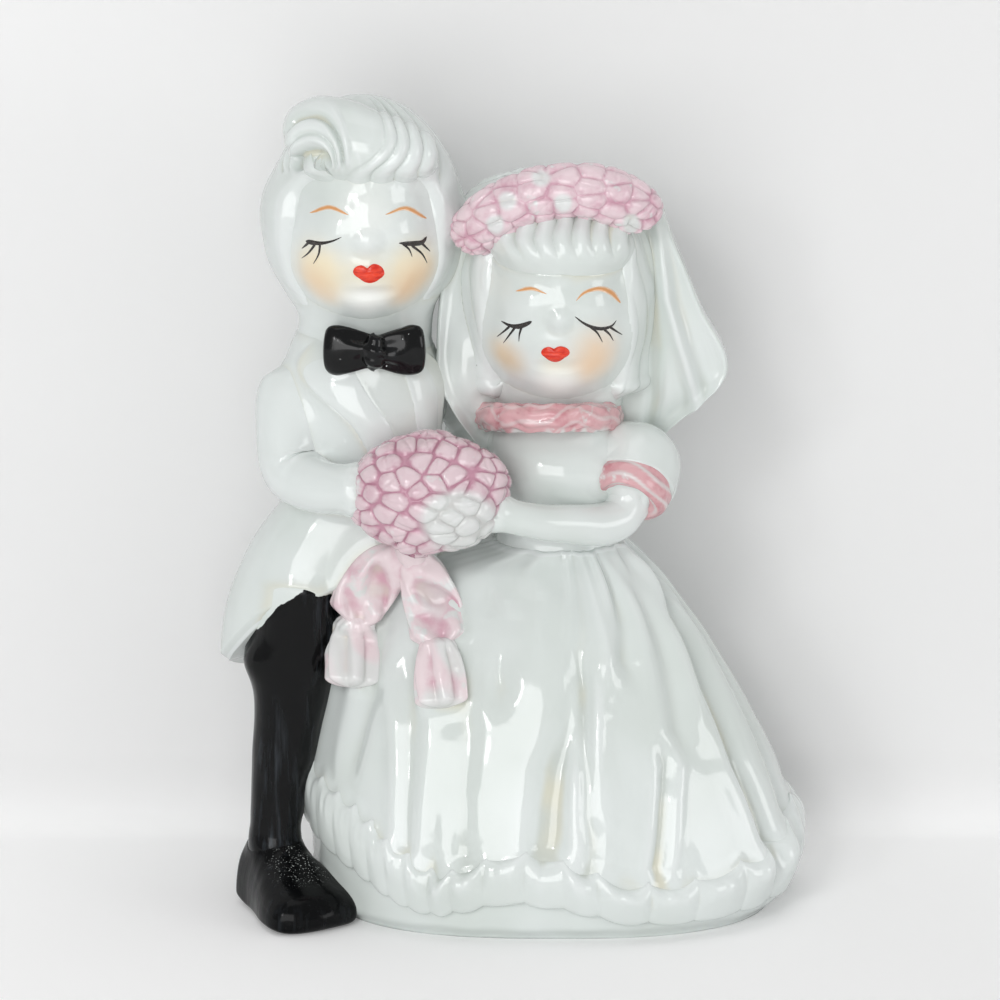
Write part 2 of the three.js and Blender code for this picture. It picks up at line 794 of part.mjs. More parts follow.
// Features of the face, in half-widths and half-heights from its middle: place across, place up,
// width, height, and how far they stand out as a share of the head's half-depth.
const FACE_SHARES = [
  [0, -0.05, 0.12, 0.11, 0.1],
  [0, 0.12, 0.1, 0.2, 0.05],
  [0, -0.44, 0.19, 0.12, 0.08],
  [0, -0.78, 0.34, 0.26, 0.09],
  [0.5, -0.44, 0.42, 0.36, 0.08],
  [-0.5, -0.44, 0.42, 0.36, 0.08],
  [0.42, -0.02, 0.28, 0.17, 0.06],
  [-0.42, -0.02, 0.28, 0.17, 0.06],
];

// More rings of points are spent on the face than on the back of the head.
const faceTurn = (turn) => turn - 0.09 * Math.sin((turn - FRONT) * TURN);

function head({ middle, width, depth, height, around, rows }) {
  return closedBody(
    (step, rise) => {
      const turn = faceTurn(step);
      const angle = rise * Math.PI;
      const [wide, deep] = valuesAt(HEAD_SHARES, HALF - HALF * Math.cos(angle));
      const across = Math.cos(turn * TURN) * Math.sin(angle) * wide;
      const up = -Math.cos(angle);
      const along = Math.sin(turn * TURN) * Math.sin(angle) * deep;
      const features = FACE_SHARES.reduce(
        (sum, [x, z, w, h, out]) => sum + out * bump(Math.hypot((across - x) / w, (up - z) / h), 1.6),
        0,
      );
      const face = along < 0 ? features : 0;
      return vector(
        middle.x + across * width * HALF,
        middle.y + (along - face) * depth * HALF,
        middle.z + up * height * HALF,
      );
    },
    around,
    rows,
  );
}

function neck(middle, height, radius) {
  const length = height * HALF;
  const geometry = new THREE.CylinderGeometry(radius, radius * 1.05, length, 14);
  geometry.rotateX(TURN / 4).translate(middle.x, middle.y + radius * 0.3, middle.z - length);
  return solid(geometry);
}

// A head on its neck, whose radius is a share of the head's width.
function headWithNeck(size, share) {
  return head({ ...size, around: 20, rows: 12 }).add(neck(size.middle, size.height, size.width * share));
}

// Hair

// The face shows through an opening in the front of the hair.
function faceWindow({ middle, width, depth, height, wide, high, low }) {
  const halfHeight = (high + low) * height * HALF;
  return ball({
    middle: vector(middle.x, middle.y - depth * 0.62, middle.z + ((high - low) * height * HALF) / 2),
    width: wide * width,
    depth: depth * 1.05,
    height: halfHeight,
    around: 16,
    rows: 8,
    shares: WINDOW_SHARES,
  });
}
const WINDOW_SHARES = [
  [0, 0.95, 1],
  [0.5, 1, 1],
  [1, 1.25, 1],
];

const groomHead = {
  middle: groomHeadMiddle,
  width: GROOM_HEAD_WIDTH,
  depth: GROOM_HEAD_DEPTH,
  height: GROOM_HEAD_HEIGHT,
};
const brideHead = {
  middle: brideHeadMiddle,
  width: BRIDE_HEAD_WIDTH,
  depth: BRIDE_HEAD_DEPTH,
  height: BRIDE_HEAD_HEIGHT,
};

const GROOM_HAIR_SHARES = [
  [0, 1.3, 1],
  [0.05, 1.4, 1],
  [0.12, 1.24, 0.96],
  [0.3, 1.09, 0.94],
  [0.55, 1.03, 1],
  [0.8, 0.96, 1],
  [1, 0.96, 0.96],
];

function groomHair() {
  const t = GROOM_HAIR_THICKNESS;
  return ball({
    middle: vector(groomHeadMiddle.x - t * 0.1, groomHeadMiddle.y + t * 0.55, groomHeadMiddle.z + t * 0.4),
    width: GROOM_HEAD_WIDTH + t * 1.8,
    depth: GROOM_HEAD_DEPTH + t,
    height: GROOM_HEAD_HEIGHT + t * 0.8,
    around: 20,
    rows: 9,
    shares: GROOM_HAIR_SHARES,
  }).subtract(faceWindow({ ...groomHead, wide: 1.04, high: 0.74, low: 1.3 }));
}

// The front of the groom's hair is rolled into a quiff that hooks over at his right temple.
function quiff() {
  const { middle, width, depth, height } = groomHead;
  const at = (across, out, up) =>
    vector(middle.x + across * width * HALF, middle.y - out * depth * HALF, middle.z + up * height * HALF);
  const r = QUIFF_THICKNESS * HALF;
  return limb({
    path: [
      at(0.95, 0.36, 0.62),
      at(0.52, 0.6, 0.76),
      at(0, 0.7, 0.82),
      at(-0.46, 0.66, 0.78),
      at(-0.86, 0.52, 0.66),
    ],
    radii: [
      [0, r * 0.5, r * 0.5],
      [0.3, r * 0.95, r],
      [0.6, r * 1.16, r * 1.12],
      [0.85, r * 1.12, r * 1.12],
      [1, r * 0.8, r * 0.9],
    ],
    around: 12,
    rows: 10,
  });
}

const BRIDE_HAIR_SHARES = [
  [0, 2.4, 1.5],
  [0.04, 2.1, 1.4],
  [0.12, 1.42, 1.1],
  [0.25, 1.08, 0.98],
  [0.6, 1, 1],
  [1, 1, 1],
];

function brideHair() {
  const t = BRIDE_HAIR_THICKNESS;
  return ball({
    middle: vector(brideHeadMiddle.x, brideHeadMiddle.y + t * 0.6, brideHeadMiddle.z + t * 0.3),
    width: BRIDE_HEAD_WIDTH + 2 * t,
    depth: BRIDE_HEAD_DEPTH + t,
    height: BRIDE_HEAD_HEIGHT + t,
    around: 18,
    rows: 9,
    shares: BRIDE_HAIR_SHARES,
  }).subtract(faceWindow({ ...brideHead, wide: 0.9, high: 0.8, low: 1.25 }));
}

// The fringe is a row of soft locks under the wreath.
function fringe() {
  const { middle, width, depth, height } = brideHead;
  const t = FRINGE_THICKNESS;
  return ball({
    middle: vector(middle.x + width * 0.02, middle.y - depth * 0.2, middle.z + height * 0.26),
    width: width * 0.9,
    depth: depth * 0.55 + t,
    height: height * 0.36,
    around: 24,
    rows: 7,
    relief: (turn) => 0.03 * Math.cos((turn - FRONT) * TURN * FRINGE_COUNT * 2),
  });
}

// Flowers

// Directions spread evenly over a ball, on a spiral.
function spiralDirection(i, count) {
  const up = 1 - (2 * i + 1) / count;
  const turn = i * ((3 - Math.sqrt(5)) / 2);
  const across = Math.sqrt(1 - up * up);
  return vector(Math.cos(turn * TURN) * across, Math.sin(turn * TURN) * across, up);
}

function blossom(middle, size) {
  const geometry = new THREE.OctahedronGeometry(size * HALF, 1);
  geometry.translate(middle.x, middle.y, middle.z);
  return solid(geometry);
}

function bouquet() {
  const core = ball({
    middle: bouquetMiddle,
    width: BOUQUET_WIDTH - FLORET * HALF,
    depth: BOUQUET_DEPTH - FLORET * HALF,
    height: BOUQUET_HEIGHT - FLORET * HALF,
    around: 14,
    rows: 8,
  });
  const florets = [];
  for (let i = 0; i < FLORET_COUNT; i++) {
    const direction = spiralDirection(i, FLORET_COUNT);
    if (direction.y > 0.1) continue;
    const reach = vector(BOUQUET_WIDTH - FLORET, BOUQUET_DEPTH - FLORET, BOUQUET_HEIGHT - FLORET);
    const middle = direction.multiply(reach).multiplyScalar(HALF).add(bouquetMiddle);
    florets.push(blossom(middle, FLORET * 1.25));
  }
  return florets.reduce((whole, floret) => whole.add(floret), core);
}

// The wreath goes over the bride's head from side to side, a little in front of its middle.
function wreath() {
  const { middle, width, depth, height } = brideHead;
  const r = WREATH_THICKNESS * HALF;
  const at = (across, out, up) =>
    vector(middle.x + across * width * HALF, middle.y - out * depth * HALF, middle.z + up * height * HALF);
  const path = [
    at(-1.2, 0.27, 0.48),
    at(-0.86, 0.55, 0.82),
    at(-0.46, 0.64, 0.99),
    at(0.04, 0.68, 1.08),
    at(0.52, 0.66, 1.05),
    at(0.92, 0.52, 0.9),
    at(1.12, 0.33, 0.7),
  ];
  const band = limb({
    path,
    radii: [
      [0, r * 0.6, r * 0.6],
      [0.12, r * 0.8, r * 0.8],
      [0.5, r * 0.86, r * 0.86],
      [0.88, r * 0.8, r * 0.8],
      [1, r * 0.6, r * 0.6],
    ],
    around: 8,
    rows: 10,
  });
  const curve = new THREE.CatmullRomCurve3(path, false, "centripetal");
  const blossoms = [];
  for (let row = -1; row <= 1; row += 2) {
    for (let i = 0; i < WREATH_COUNT; i++) {
      const place = (i + 0.5 + row * 0.25) / WREATH_COUNT;
      const tangent = curve.getTangentAt(place);
      const outward = vector(0, -1, 0);
      const over = outward.clone().cross(tangent).normalize();
      const spot = curve.getPointAt(place).addScaledVector(outward, r * HALF);
      spot.addScaledVector(over, row * r * 0.52);
      blossoms.push(blossom(spot, WREATH_BLOSSOM));
    }
  }
  return blossoms.reduce((whole, one) => whole.add(one), band);
}

// Veil

// Rows rise from the lowest point at the back to the crown: reach right, back, left and front.
const VEIL_SHARES = [
  [0, 0.3, 0.85, 0.1, -0.35],
  [0.2, 0.78, 0.97, 0.38, -0.15],
  [0.375, 1.13, 1, 0.8, 0.06],
  [0.6, 0.95, 0.97, 0.8, 0.12],
  [0.8, 0.78, 0.9, 0.72, 0.14],
  [0.94, 0.64, 0.8, 0.62, 0.14],
  [1, 0.4, 0.5, 0.4, 0.1],
];

function veil() {
  const rows = 10;
  const top = brideHeadMiddle.z + BRIDE_HEAD_HEIGHT * 0.5;
  return closedBody(
    (turn, rise) => {
      const share = Math.min(Math.max((rise * rows - 1) / (rows - 2), 0), 1);
      const [right, back, left, front] = valuesAt(VEIL_SHARES, share);
      const z = top - VEIL_HEIGHT * (1 - share);
      if (rise === 0 || rise === 1) return vector(BRIDE_X, VEIL_DEPTH * 0.45, z);
      const ring = {
        x: BRIDE_X,
        y: 0,
        z,
        right: right * VEIL_SPAN * HALF,
        left: left * VEIL_SPAN * HALF,
        back: back * VEIL_DEPTH,
        front: front * VEIL_DEPTH,
        squareness: 2.6,
      };
      const point = ringPoint(ring, turn);
      const edge = Math.abs(point.x - BRIDE_X) / (VEIL_SPAN * HALF);
      point.y += Math.sin(turn * TURN * 9) * 0.03 * VEIL_DEPTH * edge;
      return point;
    },
    20,
    rows,
  );
}

// Collar

function collar() {
  const middle = vector(BRIDE_X - COLLAR_WIDTH * 0.08, -BODICE_DEPTH * 0.08, SKIRT_HEIGHT + BODICE_HEIGHT);
  const around = 28;
  return ringBody(
    (turn, lap) => {
      const angle = lap * TURN;
      const frill = 1 + 0.14 * Math.cos(turn * TURN * 14);
      const reach = 1 + (Math.sin(angle) * COLLAR_THICKNESS * frill) / (COLLAR_WIDTH * HALF);
      const back = 1 + Math.sin(turn * TURN);
      return vector(
        middle.x + Math.cos(turn * TURN) * COLLAR_WIDTH * HALF * reach,
        middle.y + Math.sin(turn * TURN) * COLLAR_DEPTH * HALF * reach,
        middle.z + Math.cos(angle) * COLLAR_THICKNESS * 0.9 * frill - back * COLLAR_DROP,
      );
    },
    around,
    4,
  );
}

// Bow tie, shirt and lapels

const tieMiddle = vector(
  GROOM_X + COAT_WIDTH * 0.08,
  0,
  COAT_WAIST + COAT_HEIGHT * 0.93,
);
tieMiddle.y = -COAT_DEPTH * HALF * 0.98;

// Each wing opens from the knot to a soft square end.
function tieWing(side) {
  const end = TIE_WIDTH * HALF;
  const r = TIE_HEIGHT * HALF;
  const t = TIE_THICKNESS * HALF;
  return limb({
    path: [
      tieMiddle.clone(),
      tieMiddle.clone().add(vector(side * end * 0.5, t * 0.1, 0)),
      tieMiddle.clone().add(vector(side * end, t * 0.5, 0)),
    ],
    radii: [
      [0, r * 0.66, t * 0.7],
      [0.25, r * 0.74, t],
      [0.7, r, t * 1.05],
      [0.92, r, t * 0.9],
      [1, r * 0.84, t * 0.64],
    ],
    around: 12,
    rows: 8,
  });
}

function tieKnot() {
  return ball({
    middle: tieMiddle.clone().add(vector(0, -TIE_THICKNESS * 0.3, 0)),
    width: TIE_WIDTH * 0.23,
    depth: TIE_THICKNESS * 1.05,
    height: TIE_HEIGHT * 0.76,
    around: 12,
    rows: 8,
  });
}

// A thin slab laid over the front of the coat between two lines that fall from neck to waist.
function coatPanel(lines, thickness) {
  const rows = 10;
  return closedBody(
    (turn, rise) => {
      const share = Math.min(Math.max((rise * rows - 1) / (rows - 2), 0), 1);
      const [left, right] = valuesAt(lines, share).map((x) => GROOM_X + x * COAT_WIDTH * HALF);
      const ring = coat.ringAt(share);
      const pole = rise === 0 || rise === 1;
      const across = pole ? 0 : Math.cos(turn * TURN);
      const out = pole ? 0 : Math.sin(turn * TURN);
      const x = (left + right) * HALF + across * (right - left) * HALF;
      return vector(x, ringFront(ring, x) + out * thickness, ring.z);
    },
    10,
    rows,
  );
}

const LEFT_LAPEL_SHARES = [
  [0, 0.35, 0.55],
  [0.49, -0.09, 0.37],
  [0.77, -0.73, -0.04],
  [1, -0.42, -0.1],
];
const RIGHT_LAPEL_SHARES = [
  [0, 0.72, 0.86],
  [0.49, 0.66, 0.93],
  [0.77, 0.5, 0.9],
  [1, 0.14, 0.34],
];
const SHIRT_SHARES = [
  [0, 0.58, 0.7],
  [0.49, 0.38, 0.66],
  [0.77, -0.04, 0.5],
  [1, -0.1, 0.14],
];

// Ribbons hang from the bouquet and lie on the skirt

// A point on the front of the skirt or, above it, of the coat.
function dressFront(x, z) {
  const skirt = ringFront(skirtRing(Math.min(z / SKIRT_HEIGHT, 0.86)), Math.max(x, GROOM_X));
  const overCoat = z > COAT_WAIST - TAIL_DROP * 0.68;
  return overCoat ? Math.min(skirt, ringFront(coat.ringAt(0), x)) : skirt;
}

function ribbon({ from, to, bend, wide, grooves, rows }) {
  const place = (share) => {
    const x = from.x + (to.x - from.x) * share + bend * Math.sin(share * Math.PI);
    const z = from.z + (to.z - from.z) * share;
    return vector(x, dressFront(x, z) - RIBBON_THICKNESS * 0.3, z);
  };
  return limb({
    path: [0, 0.33, 0.66, 1].map(place),
    radii: wide.map(([share, width]) => [share, width * HALF, RIBBON_THICKNESS * HALF * 1.15]),
    around: 12,
    rows,
    relief: (turn) => -0.1 * Math.cos(turn * TURN * grooves),
  });
}

const knotSpot = vector(BOUQUET_X - BOUQUET_WIDTH * 0.1, 0, bouquetMiddle.z - BOUQUET_HEIGHT * 0.58);

function ribbonKnot() {
  const front = dressFront(knotSpot.x, knotSpot.z) - RIBBON_THICKNESS * HALF;
  return ball({
    middle: vector(knotSpot.x, front, knotSpot.z + RIBBON_THICKNESS * 0.3),
    width: RIBBON_THICKNESS * 1.5,
    depth: RIBBON_THICKNESS * 1.6,
    height: RIBBON_THICKNESS * 2,
    around: 12,
    rows: 8,
  });
}

// Where each loop ends and each tail ends, from the knot, in loop lengths across and down.
const LEFT_LOOP_SHARES = [-0.66, 0.84];
const RIGHT_LOOP_SHARES = [0.3, 1];
const LEFT_TAIL_SHARES = [-0.68, 1.56];
const RIGHT_TAIL_SHARES = [0.34, 1.64];

const fromKnot = ([across, down], share) =>
  knotSpot.clone().add(vector(across * share * RIBBON_LOOP_LENGTH, 0, -down * share * RIBBON_LOOP_LENGTH));

function ribbonLoop(end) {
  return ribbon({
    from: knotSpot,
    to: fromKnot(end, 1),
    bend: end[0] * RIBBON_LOOP_WIDTH * 0.3,
    wide: [
      [0, RIBBON_LOOP_WIDTH * 0.4],
      [0.3, RIBBON_LOOP_WIDTH * 0.85],
      [0.6, RIBBON_LOOP_WIDTH],
      [0.9, RIBBON_LOOP_WIDTH * 0.92],
      [1, RIBBON_LOOP_WIDTH * 0.6],
    ],
    grooves: 2,
    rows: 9,
  });
}

function ribbonTail(start, end) {
  return ribbon({
    from: fromKnot(start, 0.94),
    to: fromKnot(end, 1),
    bend: 0,
    wide: [
      [0, RIBBON_TAIL_WIDTH * 0.7],
      [0.5, RIBBON_TAIL_WIDTH],
      [1, RIBBON_TAIL_WIDTH * 0.86],
    ],
    grooves: 6,
    rows: 6,
  });
}

// Materials

const glaze = (color) => new THREE.MeshStandardMaterial({ color, roughness: 0.12, metalness: 0 });
const WHITE = glaze(0xe6ebe8);
const SKIN = glaze(0xf0e9e2);
const BLACK = glaze(0x0b0c0e);
const PINK = glaze(0xe6bccb);
const ROSE = glaze(0xdf9aa4);

// Putting the figure together: each section is trimmed to those that are already in place

const figure = new THREE.Group();
const inPlace = [];

function place(name, body, material, space = body) {
  const box = space.boundingBox();
  const overlaps = (a, b, k) => a.min[k] <= b.max[k] + SEAM;
  const meets = (other) => [0, 1, 2].every((k) => overlaps(box, other, k) && overlaps(other, box, k));
  const trimmed = inPlace
    .filter(({ bounds }) => meets(bounds))
    .reduce((left, { room }) => left.subtract(room), body);
  inPlace.push({ bounds: box, room: grown(space.simplify(SMOOTHING), SEAM) });
  const mesh = new THREE.Mesh(geometryOf(mainPart(trimmed.simplify(SMOOTHING))), material);
  mesh.name = name;
  figure.add(mesh);
}

const FRONT_HEADING = 0.5;
const BACK_HEADING = 0.1;
const frontShoe = shoe(FRONT_LEG, FRONT_HEADING);
const backShoe = shoe(BACK_LEG, BACK_HEADING);
const frontLeg = trouserLeg(FRONT_LEG, 0.242);
const backLeg = trouserLeg(BACK_LEG, 0.04);
const hollow = castHollow([frontLeg, backLeg, frontShoe, backShoe]);
const skirt = dressSkirt();
const under = petticoat();

place("groom_front_shoe", frontShoe, BLACK);
place("groom_back_shoe", backShoe, BLACK);
place("groom_front_trouser_leg", frontLeg, BLACK);
place("groom_back_trouser_leg", backLeg, BLACK);
place("petticoat_base", under.subtract(hollow).subtract(ventHole()), WHITE, under);
place("dress_skirt", skirt.subtract(hollow), WHITE, skirt);
place("hem_frill", hemFrill(), WHITE);
place("coat_tails", coatTails(), WHITE);
place("tailcoat_body", coat.body, WHITE);
place("bride_bodice", bodice.body, WHITE);
place("bouquet", bouquet(), PINK);
place("shirt_front", coatPanel(SHIRT_SHARES, SHIRT_THICKNESS), WHITE);
place("left_lapel", coatPanel(LEFT_LAPEL_SHARES, LAPEL_THICKNESS), WHITE);
place("right_lapel", coatPanel(RIGHT_LAPEL_SHARES, LAPEL_THICKNESS), WHITE);
place("groom_front_sleeve", groomFrontSleeve(), WHITE);
place("groom_back_sleeve", groomBackSleeve(), WHITE);
place("bride_puff_sleeve", puffSleeve(), WHITE);
place("bride_forearm", brideForearm(), WHITE);
place("bride_sleeve_cuff", sleeveCuff(), ROSE);
place("groom_head", headWithNeck(groomHead, 0.42), SKIN);
place("groom_hair", groomHair(), WHITE);
place("groom_quiff", quiff(), WHITE);
place("bow_tie_knot", tieKnot(), BLACK);
place("bow_tie_left_wing", tieWing(-1), BLACK);
place("bow_tie_right_wing", tieWing(1), BLACK);
place("bride_head", headWithNeck(brideHead, 0.3), SKIN);
place("bride_hair", brideHair(), WHITE);
place("bride_fringe", fringe(), WHITE);
place("neck_frill", collar(), ROSE);
place("flower_wreath", wreath(), PINK);
place("bridal_veil", veil(), WHITE);
place("ribbon_knot", ribbonKnot(), PINK);
place("ribbon_left_loop", ribbonLoop(LEFT_LOOP_SHARES), PINK);
place("ribbon_right_loop", ribbonLoop(RIGHT_LOOP_SHARES), PINK);
place("ribbon_left_tail", ribbonTail(LEFT_LOOP_SHARES, LEFT_TAIL_SHARES), PINK);
place("ribbon_right_tail", ribbonTail(RIGHT_LOOP_SHARES, RIGHT_TAIL_SHARES), PINK);

// The figure's box is centred over the origin, with the foot at height zero
const bounds = new THREE.Box3().setFromObject(figure);
const middle = bounds.getCenter(new THREE.Vector3());
figure.position.set(-middle.x, -middle.y, 0);

export default figure;
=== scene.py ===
import bpy
import numpy as np
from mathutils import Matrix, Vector


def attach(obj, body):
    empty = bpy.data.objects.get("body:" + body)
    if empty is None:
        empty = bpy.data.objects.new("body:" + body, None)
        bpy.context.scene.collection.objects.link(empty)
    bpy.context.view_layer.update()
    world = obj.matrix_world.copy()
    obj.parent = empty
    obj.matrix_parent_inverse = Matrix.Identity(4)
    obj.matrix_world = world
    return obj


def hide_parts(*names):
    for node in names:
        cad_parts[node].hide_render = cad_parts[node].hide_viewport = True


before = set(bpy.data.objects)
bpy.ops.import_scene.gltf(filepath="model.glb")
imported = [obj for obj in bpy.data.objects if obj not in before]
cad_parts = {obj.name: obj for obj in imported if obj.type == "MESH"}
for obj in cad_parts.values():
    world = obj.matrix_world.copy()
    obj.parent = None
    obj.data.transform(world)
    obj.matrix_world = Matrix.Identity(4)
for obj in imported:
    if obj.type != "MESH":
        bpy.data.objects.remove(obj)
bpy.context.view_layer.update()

# The dress skirt: cast porcelain, drained hollow, the largest section of the figure.
# Long folds start as gathers at the waist and wander down to the hem under one thick white glaze;
# on the left it is cast against the groom's leg.
TURN = 2 * np.pi
BRIDE_X = 5.5
GROOM_X = -21.5
SKIRT_HEIGHT = 51
HEM_WIDTH, HEM_DEPTH = 70, 49
WAIST_WIDTH, WAIST_DEPTH = 18, 16
# the figure's own axes stand this far from the middle of its box
AXES = np.array([-0.006, 0.229, 0])
# the photograph: its pixels to the millimetre, the pixel where those axes meet the ground, and how far
# up the picture a millimetre of height and a millimetre of depth move a point
PIXELS = 7.25
GROUND_PX, GROUND_PY = 518.5, 893
HEIGHT_SEEN, DEPTH_SEEN = 0.9613, 0.2756


def read(rows, place):
    """Values at places along a table of [place, value, ...] rows: cubic Hermite curves whose slope at
    a row is the mean slope between its two neighbours."""
    rows = np.array(rows, float)
    keys, values = rows[:, 0], rows[:, 1:]
    place = np.clip(place, keys[0], keys[-1])
    i = np.clip(np.searchsorted(keys, place, side="right") - 1, 0, len(keys) - 2)
    before, after = np.maximum(i - 1, 0), np.minimum(i + 2, len(keys) - 1)
    span = (keys[i + 1] - keys[i])[..., None]
    t = (place - keys[i])[..., None] / span
    start, end = values[i], values[i + 1]
    leave = (end - values[before]) / (keys[i + 1] - keys[before])[..., None] * span
    arrive = (values[after] - start) / (keys[after] - keys[i])[..., None] * span
    rise = end - start
    result = start + t * (leave + t * (3 * rise - 2 * leave - arrive + t * (leave + arrive - 2 * rise)))
    return np.moveaxis(result, -1, 0)


def smooth(low, high, value):
    """Goes from 0 at low to 1 at high, as 3t^2 - 2t^3."""
    t = np.clip((value - low) / (high - low), 0, 1)
    return t * t * (3 - 2 * t)


def bell(distance):
    """A hump of height 1: e to the minus distance squared."""
    return np.exp(-(distance**2))


def full_turn(count):
    """Places evenly spaced once round, as a row of a grid."""
    return np.linspace(0, 1, count, endpoint=False)[None, :]


def upright(x, y, z, reach, square, turn, back_left=None):
    """Points on level superellipse rings: across is |cos|^(2/square) times the reach to the right or
    left, along is |sin|^(2/square) times the reach to the back or front."""
    c, s = np.cos(turn * TURN), np.sin(turn * TURN)
    right, back, left, front = reach
    power = 2 / np.where((c < 0) & (s > 0), back_left or square, square)
    across = np.sign(c) * np.abs(c) ** power * np.where(c > 0, right, left)
    along = np.sign(s) * np.abs(s) ** power * np.where(s > 0, back, front)
    return np.stack(np.broadcast_arrays(x + across, y + along, z), -1)


def seen(points):
    """Where points fall on the photograph: across by x, up by the height tilted 16 degrees back."""
    up = points[..., 2] * HEIGHT_SEEN + points[..., 1] * DEPTH_SEEN
    return GROUND_PX + PIXELS * points[..., 0], GROUND_PY - PIXELS * up


def nearest(skin, spots):
    """For each spot of the photograph, the row and column of the front skin point that falls there."""
    px, py = seen(skin)
    hidden = np.where(skin[..., 1] > 0, 1e6, 0)
    far = [((px - x) ** 2 + (py - y) ** 2 + hidden).argmin() for x, y in spots]
    return np.array(np.unravel_index(far, px.shape))


# share of the height, then how far the skirt has spread from waist to hem: right, back, left and front
SKIRT_SPREAD = [
    [0, 0.86, 0.95, 0.93, 0.97],
    [0.14, 0.92, 1, 0.98, 1],
    [0.34, 0.82, 0.87, 0.98, 0.92],
    [0.49, 0.69, 0.72, 0.94, 0.79],
    [0.66, 0.51, 0.54, 0.86, 0.6],
    [0.82, 0.31, 0.33, 0.74, 0.38],
    [0.94, 0.12, 0.14, 0.5, 0.15],
    [1, 0, 0, 0, 0],
]
# share of the height, then the power of the rings: 2 is an oval, and more is squarer
SKIRT_SQUARE = [[0, 2.5], [0.6, 2.2], [1, 2]]
# each fold of the front: its depth, half width and the ridge on its left and on its right, all in
# millimetres, then the photograph's points down its line
FRONT_FOLDS = [
    [0.5, 0.9, 0.5, 0.5, (409, 668), (412, 720), (411, 780), (409, 850)],
    [0.75, 1.3, 0.35, 0.7, (434, 715), (434, 790), (432, 865)],
    [1.1, 1.3, 0.7, 0.1, (478, 610), (466, 690), (463, 760), (461, 850)],
    [0.7, 1, 0.3, 0.3, (497, 566), (499, 620), (498, 690)],
    [0.8, 1, 0.3, 0.3, (520, 565), (522, 600), (524, 640)],
    [0.8, 0.9, 0.3, 0.3, (552, 562), (554, 590), (556, 640)],
    [1.2, 1.2, 0.25, 0.5, (570, 562), (578, 626), (578, 680), (573, 722), (560, 770), (547, 850)],
    [0.5, 0.5, 0.4, 0.3, (585, 690), (585, 750), (584, 812)],
    [0.6, 0.8, 0.4, 0.2, (591, 770), (592, 820), (588, 872)],
    [0.9, 1, 0.3, 0.3, (606, 560), (619, 600), (626, 660)],
    [0.7, 1.2, 0.3, 0.4, (624, 560), (650, 610), (668, 670), (678, 730)],
    [1.9, 1.7, 0.8, 0.1, (641, 552), (675, 610), (708, 681), (741, 763), (772, 850)],
    [0.9, 0.8, 0.2, 0.4, (667, 765), (664, 800), (658, 866)],
    [0.8, 1.2, 0.3, 0.2, (384, 620), (370, 690), (352, 760)],
]
# each fold of the sides and back: its turn at the waist and at the hem, and its depth
BACK_FOLDS = [
    [0.02, 0.97, 1.1],
    [0.09, 0.045, 1.4],
    [0.16, 0.13, 1.3],
    [0.23, 0.21, 1.5],
    [0.3, 0.3, 1.3],
    [0.4, 0.42, 1],
]
BACK_FOLD_WIDTH = 0.013
GATHER_COUNT = 30
GATHER_DEPTH = 0.26


def skirt_form(turn, rise, out):
    """The skirt without folds: superellipse rings, moved straight out from the bride's axis."""
    spread = np.maximum(read(SKIRT_SPREAD, rise), 0)
    waist = np.array([WAIST_WIDTH, WAIST_DEPTH, WAIST_WIDTH, WAIST_DEPTH]) / 2
    hem = np.array([HEM_WIDTH, HEM_DEPTH, HEM_WIDTH, HEM_DEPTH]) / 2
    reach = [w + (h - w) * share for w, h, share in zip(waist, hem, spread)]
    points = upright(BRIDE_X, 0, rise * SKIRT_HEIGHT, reach, read(SKIRT_SQUARE, rise)[0], turn, 1.6)
    outward = points - np.stack(np.broadcast_arrays(BRIDE_X, 0, points[..., 2]), -1)
    outward /= np.maximum(np.linalg.norm(outward, axis=-1, keepdims=True), 1e-6)
    return points + outward * np.asarray(out)[..., None]


fold_turn, fold_rise = np.meshgrid(np.linspace(0.5, 1.02, 600), np.linspace(0, 0.98, 400))
fold_skin = skirt_form(fold_turn, fold_rise, 0)
FOLD_LINES = []
for fold in FRONT_FOLDS:
    row, column = nearest(fold_skin, fold[4:])
    FOLD_LINES.append((fold[:4], fold_rise[row, 0][::-1], fold_turn[0, column][::-1]))


def skirt_relief(turn, rise):
    """Folds: each is a hollow e^-(d/w)^2 between two ridges, d being the distance round the skirt
    from the fold's line, and it runs out softly at both ends. Gathers fade below the waist."""
    radius = 9 + 21 * (1 - rise)
    turn = turn % 1
    relief = np.zeros(np.broadcast_shapes(turn.shape, rise.shape))
    for (depth, width, left, right), heights, turns in FOLD_LINES:
        gap = (turn - np.interp(rise, heights, turns) + 0.5) % 1 - 0.5
        d = gap * TURN * radius / width
        low, high = heights[0], heights[-1]
        run = smooth(low - 0.1, low + 0.02, rise) * (1 - smooth(high - 0.04, high + 0.1, rise))
        relief += run * (left * bell((d + 2) / 1.1) + right * bell((d - 2) / 1.1) - depth * bell(d))
    for waist, hem, depth in BACK_FOLDS:
        middle = hem + ((waist - hem + 0.5) % 1 - 0.5) * rise**1.5
        d = ((turn - middle + 0.5) % 1 - 0.5) / BACK_FOLD_WIDTH
        relief += (0.3 * bell((d + 2) / 1.3) + 0.3 * bell((d - 2) / 1.3) - bell(d)) * depth * (1 - rise**3)
    gathers = np.cos(turn * TURN * GATHER_COUNT + 1.2 * np.sin(turn * TURN * 5))
    hidden = smooth(0.54, 0.6, turn) * smooth(0.76, 0.7, turn)
    return relief + gathers * GATHER_DEPTH * smooth(0.66, 1, rise) * (1 - 0.8 * hidden)


def skirt_point(turn, rise, out):
    """The skirt with its folds, moved out by a distance."""
    return skirt_form(turn, rise, skirt_relief(turn, rise) + out)


